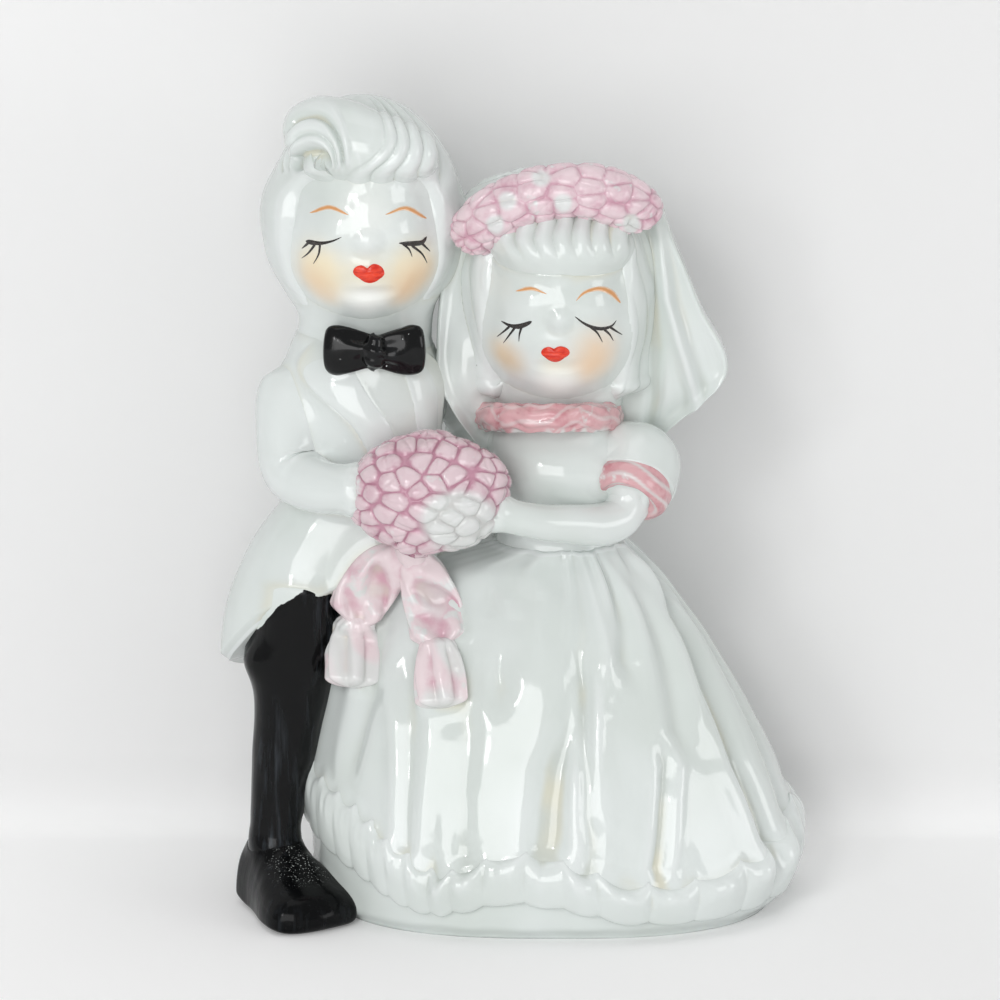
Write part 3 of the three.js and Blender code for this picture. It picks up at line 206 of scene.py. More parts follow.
def wobble(points, size, seed):
    """Twelve sine waves, each about a size long and in a direction of its own, added up to about 1."""
    rng = np.random.default_rng(seed)
    waves = rng.normal(size=(12, 3))
    waves *= TURN / size * rng.uniform(0.6, 1.5, (12, 1)) / np.linalg.norm(waves, axis=1, keepdims=True)
    return np.sin(points @ waves.T + rng.uniform(0, TURN, 12)).sum(-1) / 12**0.5


def across_and_along(grid, ring):
    """The steps from point to point round the grid and up it."""
    around = np.roll(grid, -1, 1) - np.roll(grid, 1, 1)
    along = np.roll(grid, -1, 0) - np.roll(grid, 1, 0) if ring else np.gradient(grid, axis=0) * 2
    return around, along


def normals(grid, ring):
    """Unit normals: the cross product of the two steps, pointing out of the closed skin."""
    around, along = across_and_along(grid, ring)
    across = np.cross(around, along)
    if not ring:
        across[0], across[-1] = across[1].mean(0), across[-2].mean(0)
    unit = across / np.maximum(np.linalg.norm(across, axis=-1, keepdims=True), 1e-12)
    volume = ((grid - grid.mean((0, 1))) * across)[1:-1].sum()
    return unit * np.sign(volume), volume > 0


def hollows(grid, unit, ring):
    """How far a point lies under the mean of four points 1.3 mm away, positive in a hollow."""
    around, along = across_and_along(grid, ring)
    step = [max(1, round(2.6 / max(np.linalg.norm(v, axis=-1).mean(), 1e-6))) for v in (along, around)]
    step = [min(s, n // 6) for s, n in zip(step, grid.shape)]
    if ring:
        ends = np.roll(grid, step[0], 0) + np.roll(grid, -step[0], 0)
    else:
        index = np.arange(len(grid))
        ends = grid[np.minimum(index + step[0], len(grid) - 1)] + grid[np.maximum(index - step[0], 0)]
    mean = (np.roll(grid, step[1], 1) + np.roll(grid, -step[1], 1) + ends) / 4
    return ((mean - grid) * unit).sum(-1)


def skin_mesh(name, grid, ring, outward, flat_ends):
    """A closed mesh over a grid of rows: a ring joins its last row to its first, and otherwise the
    first and last rows are each one point. Lengths go from millimetres to metres here."""
    rows, around = grid.shape[:2]
    mesh = bpy.data.meshes.new(name)
    if ring:
        points = grid.reshape(-1, 3)
        row, column = np.meshgrid(np.arange(rows), np.arange(around), indexing="ij")
        index = lambda r, c: (r % rows) * around + c % around
        fans = np.empty((0, 3), int)
    else:
        points = np.vstack([grid[0, :1], grid[1:-1].reshape(-1, 3), grid[-1, :1]])
        row, column = np.meshgrid(np.arange(1, rows - 2), np.arange(around), indexing="ij")
        index = lambda r, c: 1 + (r - 1) * around + c % around
        spoke = np.arange(around)
        low = np.stack([0 * spoke, index(1, spoke + 1), index(1, spoke)], -1)
        top = 0 * spoke + len(points) - 1
        high = np.stack([index(rows - 2, spoke), index(rows - 2, spoke + 1), top], -1)
        fans = np.vstack([low, high])
    corners = ((0, 0), (0, 1), (1, 1), (1, 0))
    quads = np.stack([index(row + r, column + c) for r, c in corners], -1).reshape(-1, 4)
    if not outward:
        quads, fans = quads[:, ::-1], fans[:, ::-1]
    mesh.vertices.add(len(points))
    mesh.vertices.foreach_set("co", ((points + AXES) * 0.001).ravel())
    mesh.loops.add(quads.size + fans.size)
    mesh.loops.foreach_set("vertex_index", np.concatenate([quads.ravel(), fans.ravel()]))
    mesh.polygons.add(len(quads) + len(fans))
    starts = np.concatenate([np.arange(len(quads)) * 4, quads.size + np.arange(len(fans)) * 3])
    mesh.polygons.foreach_set("loop_start", starts)
    soft = np.ones(len(starts), bool)
    soft[len(quads):] = not flat_ends
    mesh.polygons.foreach_set("use_smooth", soft)
    mesh.update(calc_edges=True)
    return mesh


def at_points(values, ring):
    """The values of a grid in the order of its mesh's points."""
    if ring:
        return values.ravel()
    return np.concatenate([values[0, :1], values[1:-1].ravel(), values[-1, :1]])


def mark(mesh, name, values):
    """Writes one value for each point of a mesh, under a name that a finish can read."""
    mesh.attributes.new(name, "FLOAT", "POINT").data.foreach_set("value", values)


def placed(name, data):
    """A new object of the scene."""
    item = bpy.data.objects.new(name, data)
    bpy.context.scene.collection.objects.link(item)
    return item


SECTIONS = {}


def section(name, nodes, grid, finish, slot, ring=False, uneven=0.05, joint=1.4, flat_ends=False, **marks):
    """One section of the figure as its own piece, standing for CAD nodes. The skin is a little uneven,
    and carries how hollow it is, and any other marks, for the glaze to read."""
    unit, outward = normals(grid, ring)
    grid = grid + unit * (uneven * wobble(grid, 7, len(name)))[..., None]
    mesh = skin_mesh(name, grid, ring, outward, flat_ends)
    marks["hollow"] = hollows(grid, unit, ring)
    for key, values in marks.items():
        mark(mesh, key, at_points(np.broadcast_to(values, grid.shape[:2]), ring))
    mesh.materials.append(finish.material)
    piece = placed(name, mesh)
    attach(piece, "root")
    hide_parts(*nodes)
    SECTIONS[name] = (piece, grid, ring, joint)


class Wire:
    """The output of a shader node. A sum, difference, product or quotient adds its Math node."""

    def __init__(self, finish, socket):
        self.finish, self.socket = finish, socket

    def math(self, operation, *values):
        return self.finish.node("Math", {"operation": operation}, dict(enumerate(values)))

    def __add__(self, other):
        return self.math("ADD", self, other)

    def __sub__(self, other):
        return self.math("SUBTRACT", self, other)

    def __rsub__(self, other):
        return self.math("SUBTRACT", other, self)

    def __mul__(self, other):
        return self.math("MULTIPLY", self, other)

    __radd__, __rmul__ = __add__, __mul__

    def top(self, other):
        return self.math("MAXIMUM", self, other)

    def step(self, low, high):
        """Goes from 0 at low to 1 at high."""
        settings = {"interpolation_type": "SMOOTHSTEP"}
        return self.finish.node("MapRange", settings, {0: self, 1: low, 2: high, 3: 0.0, 4: 1.0})

    def mix(self, none, all):
        """The first colour where this is 0 and the second where it is 1."""
        return self.finish.node("Mix", {"data_type": "RGBA"}, {0: self, 6: none, 7: all}, 2)


def ink(red, green, blue):
    """A colour as the eye sees it, 0 to 255, in the shader's linear light."""
    share = np.array([red, green, blue]) / 255
    linear = np.where(share <= 0.04045, share / 12.92, ((share + 0.055) / 1.055) ** 2.4)
    return (*linear.tolist(), 1.0)


class Finish:
    """A fired finish: a material, its Principled shader, and node(), which adds any other node."""

    def __init__(self, name, **constants):
        self.material = bpy.data.materials.new(name)
        self.material.use_nodes = True
        self.tree = self.material.node_tree
        self.shader = self.tree.nodes["Principled BSDF"]
        for socket, value in constants.items():
            self.shader.inputs[socket.replace("_", " ")].default_value = value

    def feed(self, socket, value):
        if isinstance(value, Wire):
            self.tree.links.new(value.socket, socket)
        else:
            socket.default_value = value

    def node(self, kind, settings, values, output=0):
        node = self.tree.nodes.new("ShaderNode" + kind)
        for key, value in settings.items():
            setattr(node, key, value)
        for key, value in values.items():
            self.feed(node.inputs[key], value)
        return Wire(self, node.outputs[output])

    def mark(self, name):
        return self.node("Attribute", {"attribute_name": name}, {}, 2)

    def place(self, stretch=(1, 1, 1)):
        """Object coordinates in millimetres, stretched."""
        where = self.node("TexCoord", {}, {}, 3)
        scale = tuple(1000 * share for share in stretch)
        return self.node("VectorMath", {"operation": "MULTIPLY"}, {0: where, 1: scale})

    def cloud(self, size, detail=2.0, stretch=(1, 1, 1)):
        """Noise with patches about a size across, from 0 to 1."""
        values = {"Vector": self.place(stretch), "Scale": 1 / size, "Detail": detail}
        return self.node("TexNoise", {}, values)

    def near(self, x, y, z, radius):
        """1 at a spot of the figure, and 0 a radius away from it."""
        spot = tuple((np.array([x, y, z]) + AXES).tolist())
        away = self.node("VectorMath", {"operation": "DISTANCE"}, {0: self.place(), 1: spot}, 1)
        return 1 - (away * (1 / radius)).step(0.0, 1.0)

    def specks(self, spacing, radius, share):
        """Dark kiln specks: round spots at the middles of a few of the cells of a cell pattern."""
        values = {"Vector": self.place(), "Scale": 1 / spacing}
        distance = self.node("TexVoronoi", {}, values, 0)
        chosen = self.node("TexVoronoi", {}, values, 1)
        lot = self.node("SeparateColor", {}, {0: chosen}, 0)
        size = self.node("SeparateColor", {}, {0: chosen}, 1)
        spot = 1 - (distance * spacing).step(radius * 0.5, radius * 1.2)
        return spot * lot.step(1 - share, 1 - share + 0.01) * (size * 0.6 + 0.4)

    def colour(self, value):
        self.feed(self.shader.inputs["Base Color"], value)

    def skin(self, roughness, height, amount):
        """How glossy the skin is, and the unevenness of its surface."""
        self.feed(self.shader.inputs["Roughness"], roughness)
        values = {"Strength": amount, "Distance": 0.001, "Height": height}
        self.feed(self.shader.inputs["Normal"], self.node("Bump", {}, values))


def white_glaze(finish):
    """The colour of the white glaze: a cool white with a few dark specks. It is darker and greener in
    hollows and along the slip joints, which is painted shade, and cream in patches where thick glaze
    has pooled; where the skin stands out it is paler."""
    hollow, joint = finish.mark("hollow"), finish.mark("joint")
    cream = finish.cloud(16).step(0.5, 0.68).top(finish.near(-8, -4, 84, 17))
    # painted shade: the darker greenish colour of hollows and joints, partly cream where thick glaze has
    # pooled
    pool_and_shade_colour = cream.mix(ink(190, 197, 190), ink(212, 206, 178))
    body = finish.cloud(22).step(0.35, 0.65).mix(ink(213, 220, 216), ink(222, 228, 226))
    # painted shade: hollows and slip joints go towards that colour
    pooled_and_shaded = (hollow * 2.4 + joint * 0.7 - 0.05).step(0.0, 1.0) * 0.6
    # paler, nearly pure white, where the skin stands out
    thin = (0 - hollow * 2.5).step(0.1, 1.2) * 0.4
    colour = thin.mix(pooled_and_shaded.mix(body, pool_and_shade_colour), ink(236, 240, 240))
    return finish.specks(5.5, 0.17, 0.09).mix(colour, ink(52, 45, 40))


GLAZE = {"Roughness": 0.08, "IOR": 1.6}
white = Finish("white_glaze", **GLAZE)
white.colour(white_glaze(white))
ripple = white.cloud(6, 1.0) * 0.5 + white.cloud(2.2, 1.0) * 0.07
white.skin(white.cloud(3, 3.0) * 0.08 + 0.045, ripple, 0.35)
skirt_turn = full_turn(400)
# turn, then the height of the hem's middle line and the width of the frill
HEM_LINE = [
    [0, 9, 9.5],
    [0.12, 8.6, 7.8],
    [0.25, 7, 6.2],
    [0.38, 8.6, 7.3],
    [0.5, 16.5, 9],
    [0.54, 15.6, 8.4],
    [0.61, 12.5, 8.4],
    [0.657, 8.2, 7.3],
    [0.683, 6.6, 5.5],
    [0.725, 9.1, 6.4],
    [0.742, 8.9, 6.4],
    [0.781, 5.8, 5.3],
    [0.82, 5.1, 5.3],
    [0.862, 5.7, 6.2],
    [0.924, 7, 7.6],
    [1, 9, 9.5],
]
hem_low = read(HEM_LINE, skirt_turn)[0] / SKIRT_HEIGHT
share = np.linspace(0, 1, 170)[:, None] ** 0.9
skirt_rise = hem_low + (1 - hem_low) * share
grid = skirt_point(skirt_turn, skirt_rise, 0)
foot = np.full((1, 400, 3), [BRIDE_X, 0, 7.1])
grid = np.vstack([foot, grid, np.full((1, 400, 3), [BRIDE_X, 0, SKIRT_HEIGHT])])
section("skirt_skin", ["dress_skirt"], grid, white, "white_glaze", joint=2.2, flat_ends=True)

# The petticoat rim: the smooth foot of the casting, a little inside the hem, that the figure
# stands on.
PETTICOAT_RECESS = 0.5
rim_share = np.linspace(0, 1, 40)[:, None]
rim_height = (hem_low + 0.06) * rim_share
tuck = 1.4 * (1 - smooth(0, 0.04, rim_height)) + PETTICOAT_RECESS
grid = skirt_form(skirt_turn, rim_height, -tuck)
foot = np.full((1, 400, 3), [BRIDE_X, 0, 0])
grid = np.vstack([foot, grid, np.full((1, 400, 3), [BRIDE_X, 0, 9])])
section("petticoat_rim", ["petticoat_base"], grid, white, "white_glaze", joint=1.2, flat_ends=True)

# The hem frill: a strip of clay pressed on round the hem in swags, puffed out between the places
# where it is pinched, and standing off the skirt along its upper edge.
FRILL_PUFF = 0.95
FRILL_SWAG = 1.2
# the photograph's points where the upper edge is pinched, from left to right round the front
FRILL_PINCHES = [
    (326, 772), (342, 790), (357, 812), (374, 828), (392, 843), (410, 862), (432, 868), (454, 866),
    (486, 848), (526, 843), (562, 866), (596, 870), (646, 878), (691, 867), (738, 864), (768, 856),
    (789, 838), (802, 818),
]
pinched = np.sort(fold_turn[0, nearest(fold_skin, FRILL_PINCHES)[1]])
behind = np.linspace(pinched[-1], pinched[0] + 1, 22)
pinches = np.concatenate([pinched[:-1], behind])
turn = full_turn(720).T
count = np.interp((turn - pinches[0]) % 1 + pinches[0], pinches, np.arange(len(pinches)))
phase = count % 1
puff = np.sin(np.pi * phase) ** 0.75
uneven = 0.75 + 0.5 * np.sin(np.floor(count) * 2.4) ** 2
lap = full_turn(48)
middle, width = read(HEM_LINE, turn % 1)
out, up = np.sin(lap * TURN), np.cos(lap * TURN)
swag = np.where(up > 0, -FRILL_SWAG * (puff - 0.55), -0.5 * FRILL_SWAG * (puff - 0.5)) * np.abs(up)
height = middle + up * width / 2 + swag * uneven
creases = 0.12 * np.cos(phase * TURN * 2.5 + count * 2 + up) * np.sin(np.pi * phase) * smooth(-0.2, 0.9, up)
quiet = 1 - 0.65 * smooth(0.72, 0.62, turn % 1) * smooth(0.44, 0.5, turn % 1)
swell = FRILL_PUFF * quiet * puff * uneven * (0.35 + 0.65 * smooth(-0.8, 0.5, up)) + 0.25 * (1 - quiet)
bulge = np.maximum(out, 0) ** 0.8 * (0.95 + swell + creases) * (0.8 + 0.2 * up)
sunk = np.minimum(out, 0) * 0.5
grid = skirt_point(turn, np.maximum(height, 0.4) / SKIRT_HEIGHT, bulge + sunk + 0.2)
section("hem_ruffle", ["hem_frill"], grid.swapaxes(0, 1), white, "white_glaze", ring=True, joint=1.5)

# The groom's trousers: the cast leg under a coat of black enamel, brushed down its length and
# ending in a ragged edge below the coat.
TROUSER_WIDTH, TROUSER_TOP = 11.4, 48
FRONT_FOOT = np.array([GROOM_X - 12.5, -5.72, 0])
BACK_FOOT = np.array([GROOM_X - 2, 6.5, 0])


def spine(points, share):
    """Places and unit directions at shares of the length of a centripetal Catmull-Rom curve."""
    p = np.array(points, float)
    p = np.vstack([2 * p[0] - p[1], p, 2 * p[-1] - p[-2]])
    gap = np.maximum(np.linalg.norm(np.diff(p, axis=0), axis=1) ** 0.5, 1e-6)
    t = np.linspace(0, 1, 60)[:, None]
    fine = []
    for k in range(1, len(p) - 2):
        a, b, c = gap[k - 1 : k + 2]
        leave = ((p[k] - p[k - 1]) / a - (p[k + 1] - p[k - 1]) / (a + b) + (p[k + 1] - p[k]) / b) * b
        arrive = ((p[k + 1] - p[k]) / b - (p[k + 2] - p[k]) / (b + c) + (p[k + 2] - p[k + 1]) / c) * b
        rise = p[k + 1] - p[k]
        turned = 3 * rise - 2 * leave - arrive + t * (leave + arrive - 2 * rise)
        fine.append(p[k] + t * (leave + t * turned))
    fine = np.vstack(fine)
    length = np.concatenate([[0], np.cumsum(np.linalg.norm(np.diff(fine, axis=0), axis=1))])
    length /= length[-1]
    ahead = np.clip(share + 0.01, 0, 1)
    behind = np.clip(share - 0.01, 0, 1)
    at = lambda s: np.stack([np.interp(s, length, fine[:, k]) for k in range(3)], -1)
    direction = at(ahead) - at(behind)
    return at(share), direction / np.linalg.norm(direction, axis=-1, keepdims=True)


def length_shares(rows):
    """Shares of a length as a column, closer together towards both ends: half of 1 - cos."""
    return (0.5 - 0.5 * np.cos(np.linspace(0, np.pi, rows)))[:, None]


def limb(points, radii, rows, around, relief=lambda turn, share: 0, facing=(0, -1, 0), ends=0.06):
    """A skin carried along a curve: at every share of its length an oval of the side and outward radii,
    rounded off at both ends like the end of an egg."""
    share, turn = length_shares(rows), full_turn(around)
    place, direction = spine(points, share[:, 0])
    side, out = read(radii, share)
    near = np.clip(np.minimum(share, 1 - share) / ends, 0, 1)
    cap = np.sqrt(1 - (1 - near) ** 2)
    facing = np.array(facing, float)
    outward = facing - (direction @ facing)[:, None] * direction
    outward /= np.linalg.norm(outward, axis=-1, keepdims=True)
    sideways = np.cross(outward, direction)
    swell = cap * (1 + relief(turn, share))
    across = (np.cos(turn * TURN) * side * swell)[..., None] * sideways[:, None]
    away = (np.sin(turn * TURN) * out * swell)[..., None] * outward[:, None]
    return place[:, None] + across + away


def trouser_leg(foot):
    """From the ankle up to the hip, with slack creases above the shoe."""
    r = TROUSER_WIDTH / 2
    hip = np.array([foot[0] + (GROOM_X - foot[0]) * 0.34, foot[1] * 0.7, TROUSER_TOP])
    knee = foot + (hip - foot) * 0.62
    ankle = np.array([foot[0], foot[1] - r * 0.22, 6.3])
    shin = knee + (ankle - knee) * 0.55 + np.array([-r * 0.06, 0, 0])
    radii = [
        [0, r * 0.62, r * 0.66],
        [0.2, r * 0.65, r * 0.7],
        [0.45, r * 0.81, r * 0.82],
        [0.75, r, r * 0.98],
        [1, r * 1.04, r * 1.02],
    ]

    def crease(turn, share):
        slant = share + 0.03 * np.sin(turn * TURN)
        side = ((turn + 0.5) % 1) - 0.5
        under_tail = 0.3 * bell(side / 0.13) * bell((share - 0.67) / 0.08)
        return 0.02 * np.cos(slant * TURN * 11) * (1 - smooth(0.06, 0.2, share)) + under_tail

    return limb([ankle, shin, knee, hip], radii, 150, 150, crease)


def brushed(name, edge, shine=0.16, dry_brush_and_sheen=0.85):
    """Black enamel over the white glaze: brush marks down the piece, paler bluish streaks that are partly
    where the brush ran dry and partly painted sheen, and the white showing beyond its edge."""
    finish = Finish(name, Specular_IOR_Level=shine, **GLAZE)
    streak = finish.cloud(0.9, 3.0, (1, 1, 0.08))
    patch = finish.cloud(9, 2.0, (1, 1, 0.3))
    # paler bluish streaks: partly where the brush ran dry, partly painted sheen
    dry_brush_and_sheen_streaks = (streak.step(0.45, 0.8) * patch.step(0.4, 0.65)) * dry_brush_and_sheen
    black = dry_brush_and_sheen_streaks.mix(ink(9, 10, 11), ink(66, 72, 78))
    ragged = edge(finish, streak, finish.cloud(2.4, 4.0))
    finish.colour(ragged.mix(white_glaze(finish), black))
    height = streak * 0.12 + finish.cloud(5, 2.0) * 0.5 + ragged * 0.1
    finish.skin(streak * 0.16 + finish.cloud(4, 2.0) * 0.1 + 0.02, height, 0.3)
    return finish


def torn_end(finish, streak, torn):
    """The enamel ends where the mark says, in a fringe as wide as a bristle stroke."""
    return (finish.mark("painted") + (torn - 0.5) * 1.6).step(-0.06, 0.06)


black = brushed("black_enamel", torn_end)
front_leg = trouser_leg(FRONT_FOOT)
# across the figure, then the height where the black paint ends, in millimetres
PAINT_EDGE = [[-40, 38], [-35.5, 40], [-33, 44], [-30, 46], [-27, 47], [-25.5, 47], [-24, 45], [-22, 41]]
edge_height = np.interp(front_leg[..., 0], *np.array(PAINT_EDGE).T)
back_leg = trouser_leg(BACK_FOOT)
BACK_PAINT_EDGE = 40
for name, grid, edge in (("front", front_leg, edge_height), ("back", back_leg, BACK_PAINT_EDGE)):
    painted, node = edge - grid[..., 2], f"groom_{name}_trouser_leg"
    section(f"{name}_trouser", [node], grid, black, "black_glaze", joint=1.2, painted=painted)

# The groom's shoes: cast with the leg, black enamel over the glaze, with the pale porcelain
# showing through in scratches over the instep.
SHOE_LENGTH, SHOE_WIDTH, SHOE_HEIGHT, SOLE_ROUND = 21.2, 12.8, 10.5, 1.3
# from heel to toe: half width and height
LAST = [
    [0, 0.62, 0.7],
    [0.08, 0.72, 0.85],
    [0.3, 0.76, 1],
    [0.5, 0.86, 0.84],
    [0.72, 1, 0.62],
    [0.88, 0.96, 0.5],
    [1, 0.7, 0.36],
]


def shoe(foot, heading):
    """Sections from heel to toe, rounded above, nearly flat below and creased over the instep. At both
    ends they close on a middle height as the end of an egg does."""
    along = np.array([np.sin(heading), -np.cos(heading), 0])
    side = np.array([np.cos(heading), np.sin(heading), 0])
    share, turn = length_shares(110), full_turn(120)
    wide, high = read(LAST, share)
    near = np.clip(np.minimum(share / 0.16, (1 - share) / 0.1), 0, 1)
    cap = np.sqrt(1 - (1 - near) ** 2)
    c, s = np.cos(turn * TURN), np.sin(turn * TURN)
    across = np.sign(c) * np.abs(c) ** 0.75 * wide * SHOE_WIDTH / 2 * cap
    top = high * SHOE_HEIGHT - SOLE_ROUND
    up = SOLE_ROUND + np.where(s > 0, np.abs(s) ** 0.85 * top, -(np.abs(s) ** 0.6) * SOLE_ROUND)
    middle = np.where(share < 0.5, 3.8, 2)
    low = np.clip(share / 0.34, 0, 1)
    up = middle + (up - middle) * cap * np.where(up < middle, np.sqrt(1 - (1 - low) ** 2), 1)
    folds = 0.07 * np.cos(share * TURN * 9 + c * 2) * bell((share - 0.42) / 0.1) * (s > 0)
    heel = foot - along * SHOE_LENGTH * 0.24
    points = heel + (share * SHOE_LENGTH)[..., None] * along + across[..., None] * side
    points[..., 2] = up + folds
    return points


def worn(finish, streak, torn):
    """Enamel everywhere but in a spray of fine scratches over the instep."""
    scratch = finish.cloud(0.24, 2.0, (1, 1, 0.6)).step(0.62, 0.68)
    place = finish.near(FRONT_FOOT[0] + 4, FRONT_FOOT[1] - 7, 8, 6)
    return 1 - scratch * place * 0.8


# the last number sets the paler streaks, partly dry brush and partly painted sheen
leather = brushed("shoe_enamel", worn, 0.1, 0.25)
section("front_shoe", ["groom_front_shoe"], shoe(FRONT_FOOT, 0.45), leather, "black_glaze", joint=1.6)
section("back_shoe", ["groom_back_shoe"], shoe(BACK_FOOT, 0.1), leather, "black_glaze", joint=1.6)

# The groom's tailcoat: a cast trunk with sloping shoulders, and the coat's skirt that is cut away in
# front and falls in two tails behind. Shirt and lapels are low reliefs, sharpened with a tool.
COAT_WAIST, COAT_HEIGHT, COAT_WIDTH, COAT_DEPTH = 57, 25, 22.4, 18.5
COAT_SQUARE = 2.3
# share of the height, then the reach to the right, back, left and front
COAT_SHAPE = [
    [0, 0.9, 0.86, 0.94, 0.88],
    [0.25, 0.94, 0.94, 0.97, 0.97],
    [0.5, 1, 1, 1, 1.02],
    [0.68, 1, 0.98, 1, 0.96],
    [0.84, 0.84, 0.84, 0.88, 0.84],
    [0.94, 0.62, 0.66, 0.72, 0.68],
    [1, 0.42, 0.46, 0.46, 0.52],
]


def trunk(x, z, width, depth, height, shape, square, turn, rise):
    """Superellipse rings from waist to neck, each reach read from the shape's table."""
    right, back, left, front = np.maximum(read(shape, rise), 0.05)
    reach = (right * width / 2, back * depth / 2, left * width / 2, front * depth / 2)
    return upright(x, 0, z + rise * height, reach, square, turn)


def coat_ring(rise):
    """The coat's rings at shares of its height."""
    size = (COAT_WIDTH, COAT_DEPTH, COAT_HEIGHT, COAT_SHAPE, COAT_SQUARE)
    return trunk(GROOM_X, COAT_WAIST, *size, trunk_turn, rise)


def capped(grid):
    """Closes a stack of rings with the middle point of the lowest and of the highest."""
    around = grid.shape[1]
    ends = [np.repeat(row.mean(0)[None, None], around, 1) for row in (grid[0], grid[-1])]
    return np.vstack([ends[0], grid, ends[1]])


trunk_turn = full_turn(200)
trunk_rise = np.linspace(0, 1, 110)[:, None]
grid = capped(coat_ring(trunk_rise))
section("coat_body", ["tailcoat_body"], grid, white, "white_glaze", joint=2.4, flat_ends=True)

# turn, then how far the edge has dropped and how far it has flared out, in millimetres
TAILS = [
    [0, 12.5, 1],
    [0.12, 22.5, 3.3],
    [0.22, 26.5, 4.1],
    [0.25, 22.5, 3.4],
    [0.28, 26.5, 4.1],
    [0.4, 26.5, 6.6],
    [0.5, 23.8, 9.4],
    [0.54, 20.4, 8],
    [0.6, 14.6, 5.7],
    [0.68, 12, 2.1],
    [0.75, 10, 0.5],
    [1, 12.5, 1],
]
rise = np.linspace(0, 1, 100)[:, None]
drop, flare = read(TAILS, trunk_turn)
ring = coat_ring(0 * rise)
outward = ring - [GROOM_X, 0, COAT_WAIST]
outward /= np.linalg.norm(outward, axis=-1, keepdims=True)
tuck = 1.2 * (1 - smooth(0, 0.05, rise))
pleats = 0.3 * np.cos(trunk_turn * TURN * 9 + 0.6) * (1 - rise) ** 1.5 * smooth(0.02, 0.2, trunk_turn % 0.7)
grid = ring + outward * (flare * (1 - rise**2.2) - tuck + pleats)[..., None]
grid[..., 2] = COAT_WAIST + 0.3 - (drop + 0.3) * (1 - rise)
section("coat_skirt", ["coat_tails"], capped(grid), white, "white_glaze", joint=2, flat_ends=True)


def front_of_coat(x, rise):
    """How far forward the coat lies at a place across it."""
    right, back, left, front = np.maximum(read(COAT_SHAPE, rise), 0.05)
    reach = np.where(x > GROOM_X, right, left) * COAT_WIDTH / 2
    share = np.clip(np.abs(x - GROOM_X) / reach, 0, 0.995)
    return -front * COAT_DEPTH / 2 * (1 - share**COAT_SQUARE) ** (1 / COAT_SQUARE)


def coat_panel(lines, thickness, power):
    """A low slab on the front of the coat between two lines: |cos|^power keeps its edges crisp."""
    rise = np.linspace(0, 1, 90)[:, None]
    turn = full_turn(100)
    left, right = GROOM_X + read(lines, rise) * COAT_WIDTH / 2
    near = np.clip(np.minimum(rise, 1 - rise) / 0.03, 0, 1)
    c, s = np.cos(turn * TURN), np.sin(turn * TURN)
    x = (left + right) / 2 + c * (right - left) / 2 * (0.2 + 0.8 * near)
    out = np.sign(s) * np.abs(s) ** power * thickness * near * (1 - 0.8 * smooth(0.72, 0.95, rise))
    y, z = front_of_coat(x, rise) - out, COAT_WAIST + rise * COAT_HEIGHT
    return capped(np.stack(np.broadcast_arrays(x, y, z), -1))


# share of the height, then the left and the right edge as shares of half the coat's width
LEFT_LAPEL = [[0, 0.35, 0.55], [0.49, -0.09, 0.37], [0.77, -0.73, -0.04], [1, -0.42, -0.1]]
RIGHT_LAPEL = [[0, 0.72, 0.86], [0.49, 0.66, 0.93], [0.77, 0.5, 0.9], [1, 0.14, 0.34]]
SHIRT = [[0, 0.58, 0.7], [0.49, 0.38, 0.66], [0.77, -0.04, 0.5], [1, -0.1, 0.14]]
section("shirt_relief", ["shirt_front"], coat_panel(SHIRT, 0.35, 0.6), white, "white_glaze", joint=0.5)
for side, lines in (("left", LEFT_LAPEL), ("right", RIGHT_LAPEL)):
    grid = coat_panel(lines, 0.95, 0.5)
    section(f"{side}_lapel_relief", [f"{side}_lapel"], grid, white, "white_glaze", joint=0.8)

# The groom's sleeves: one reaches round the front to the bouquet, with creases pressed in at the
# bend of the elbow, and the other goes round behind the bride.
SLEEVE_WIDTH = 8.2
BOUQUET = np.array([-12.4, -14.8, 61.9])
BOUQUET_SIZE = np.array([23, 17, 16.8])
shoulder_height = COAT_WAIST + COAT_HEIGHT * 0.66
r = SLEEVE_WIDTH / 2
shoulder = np.array([GROOM_X - COAT_WIDTH * 0.45, -0.93, shoulder_height + 1.97])
wrist = BOUQUET + BOUQUET_SIZE * [-0.36, -0.1, 0.05]
elbow = np.array([shoulder[0] + 0.49, -7.77, COAT_WAIST + 5.9])
upper = (shoulder + elbow) / 2 + [-0.49, 0, 0]
lower = (elbow + wrist) / 2 + [-0.82, 0, -1.15]
radii = [
    [0, r * 0.6, r * 0.6],
    [0.08, r * 0.92, r * 0.95],
    [0.2, r * 1.04, r * 1.08],
    [0.45, r, r],
    [0.62, r * 0.95, r * 0.95],
    [1, r * 0.76, r * 0.78],
]


def elbow_creases(turn, share):
    """Short creases that fan out from the inside of the elbow."""
    inside = bell(((turn - 0.08 + 0.5) % 1 - 0.5) / 0.16)
    fan = np.cos((share - 0.5) * 75 + 1.4 * np.sin(turn * TURN)) * bell((share - 0.52) / 0.09)
    return 0.035 * inside * fan - 0.03 * bell((share - 0.53) / 0.03) * inside


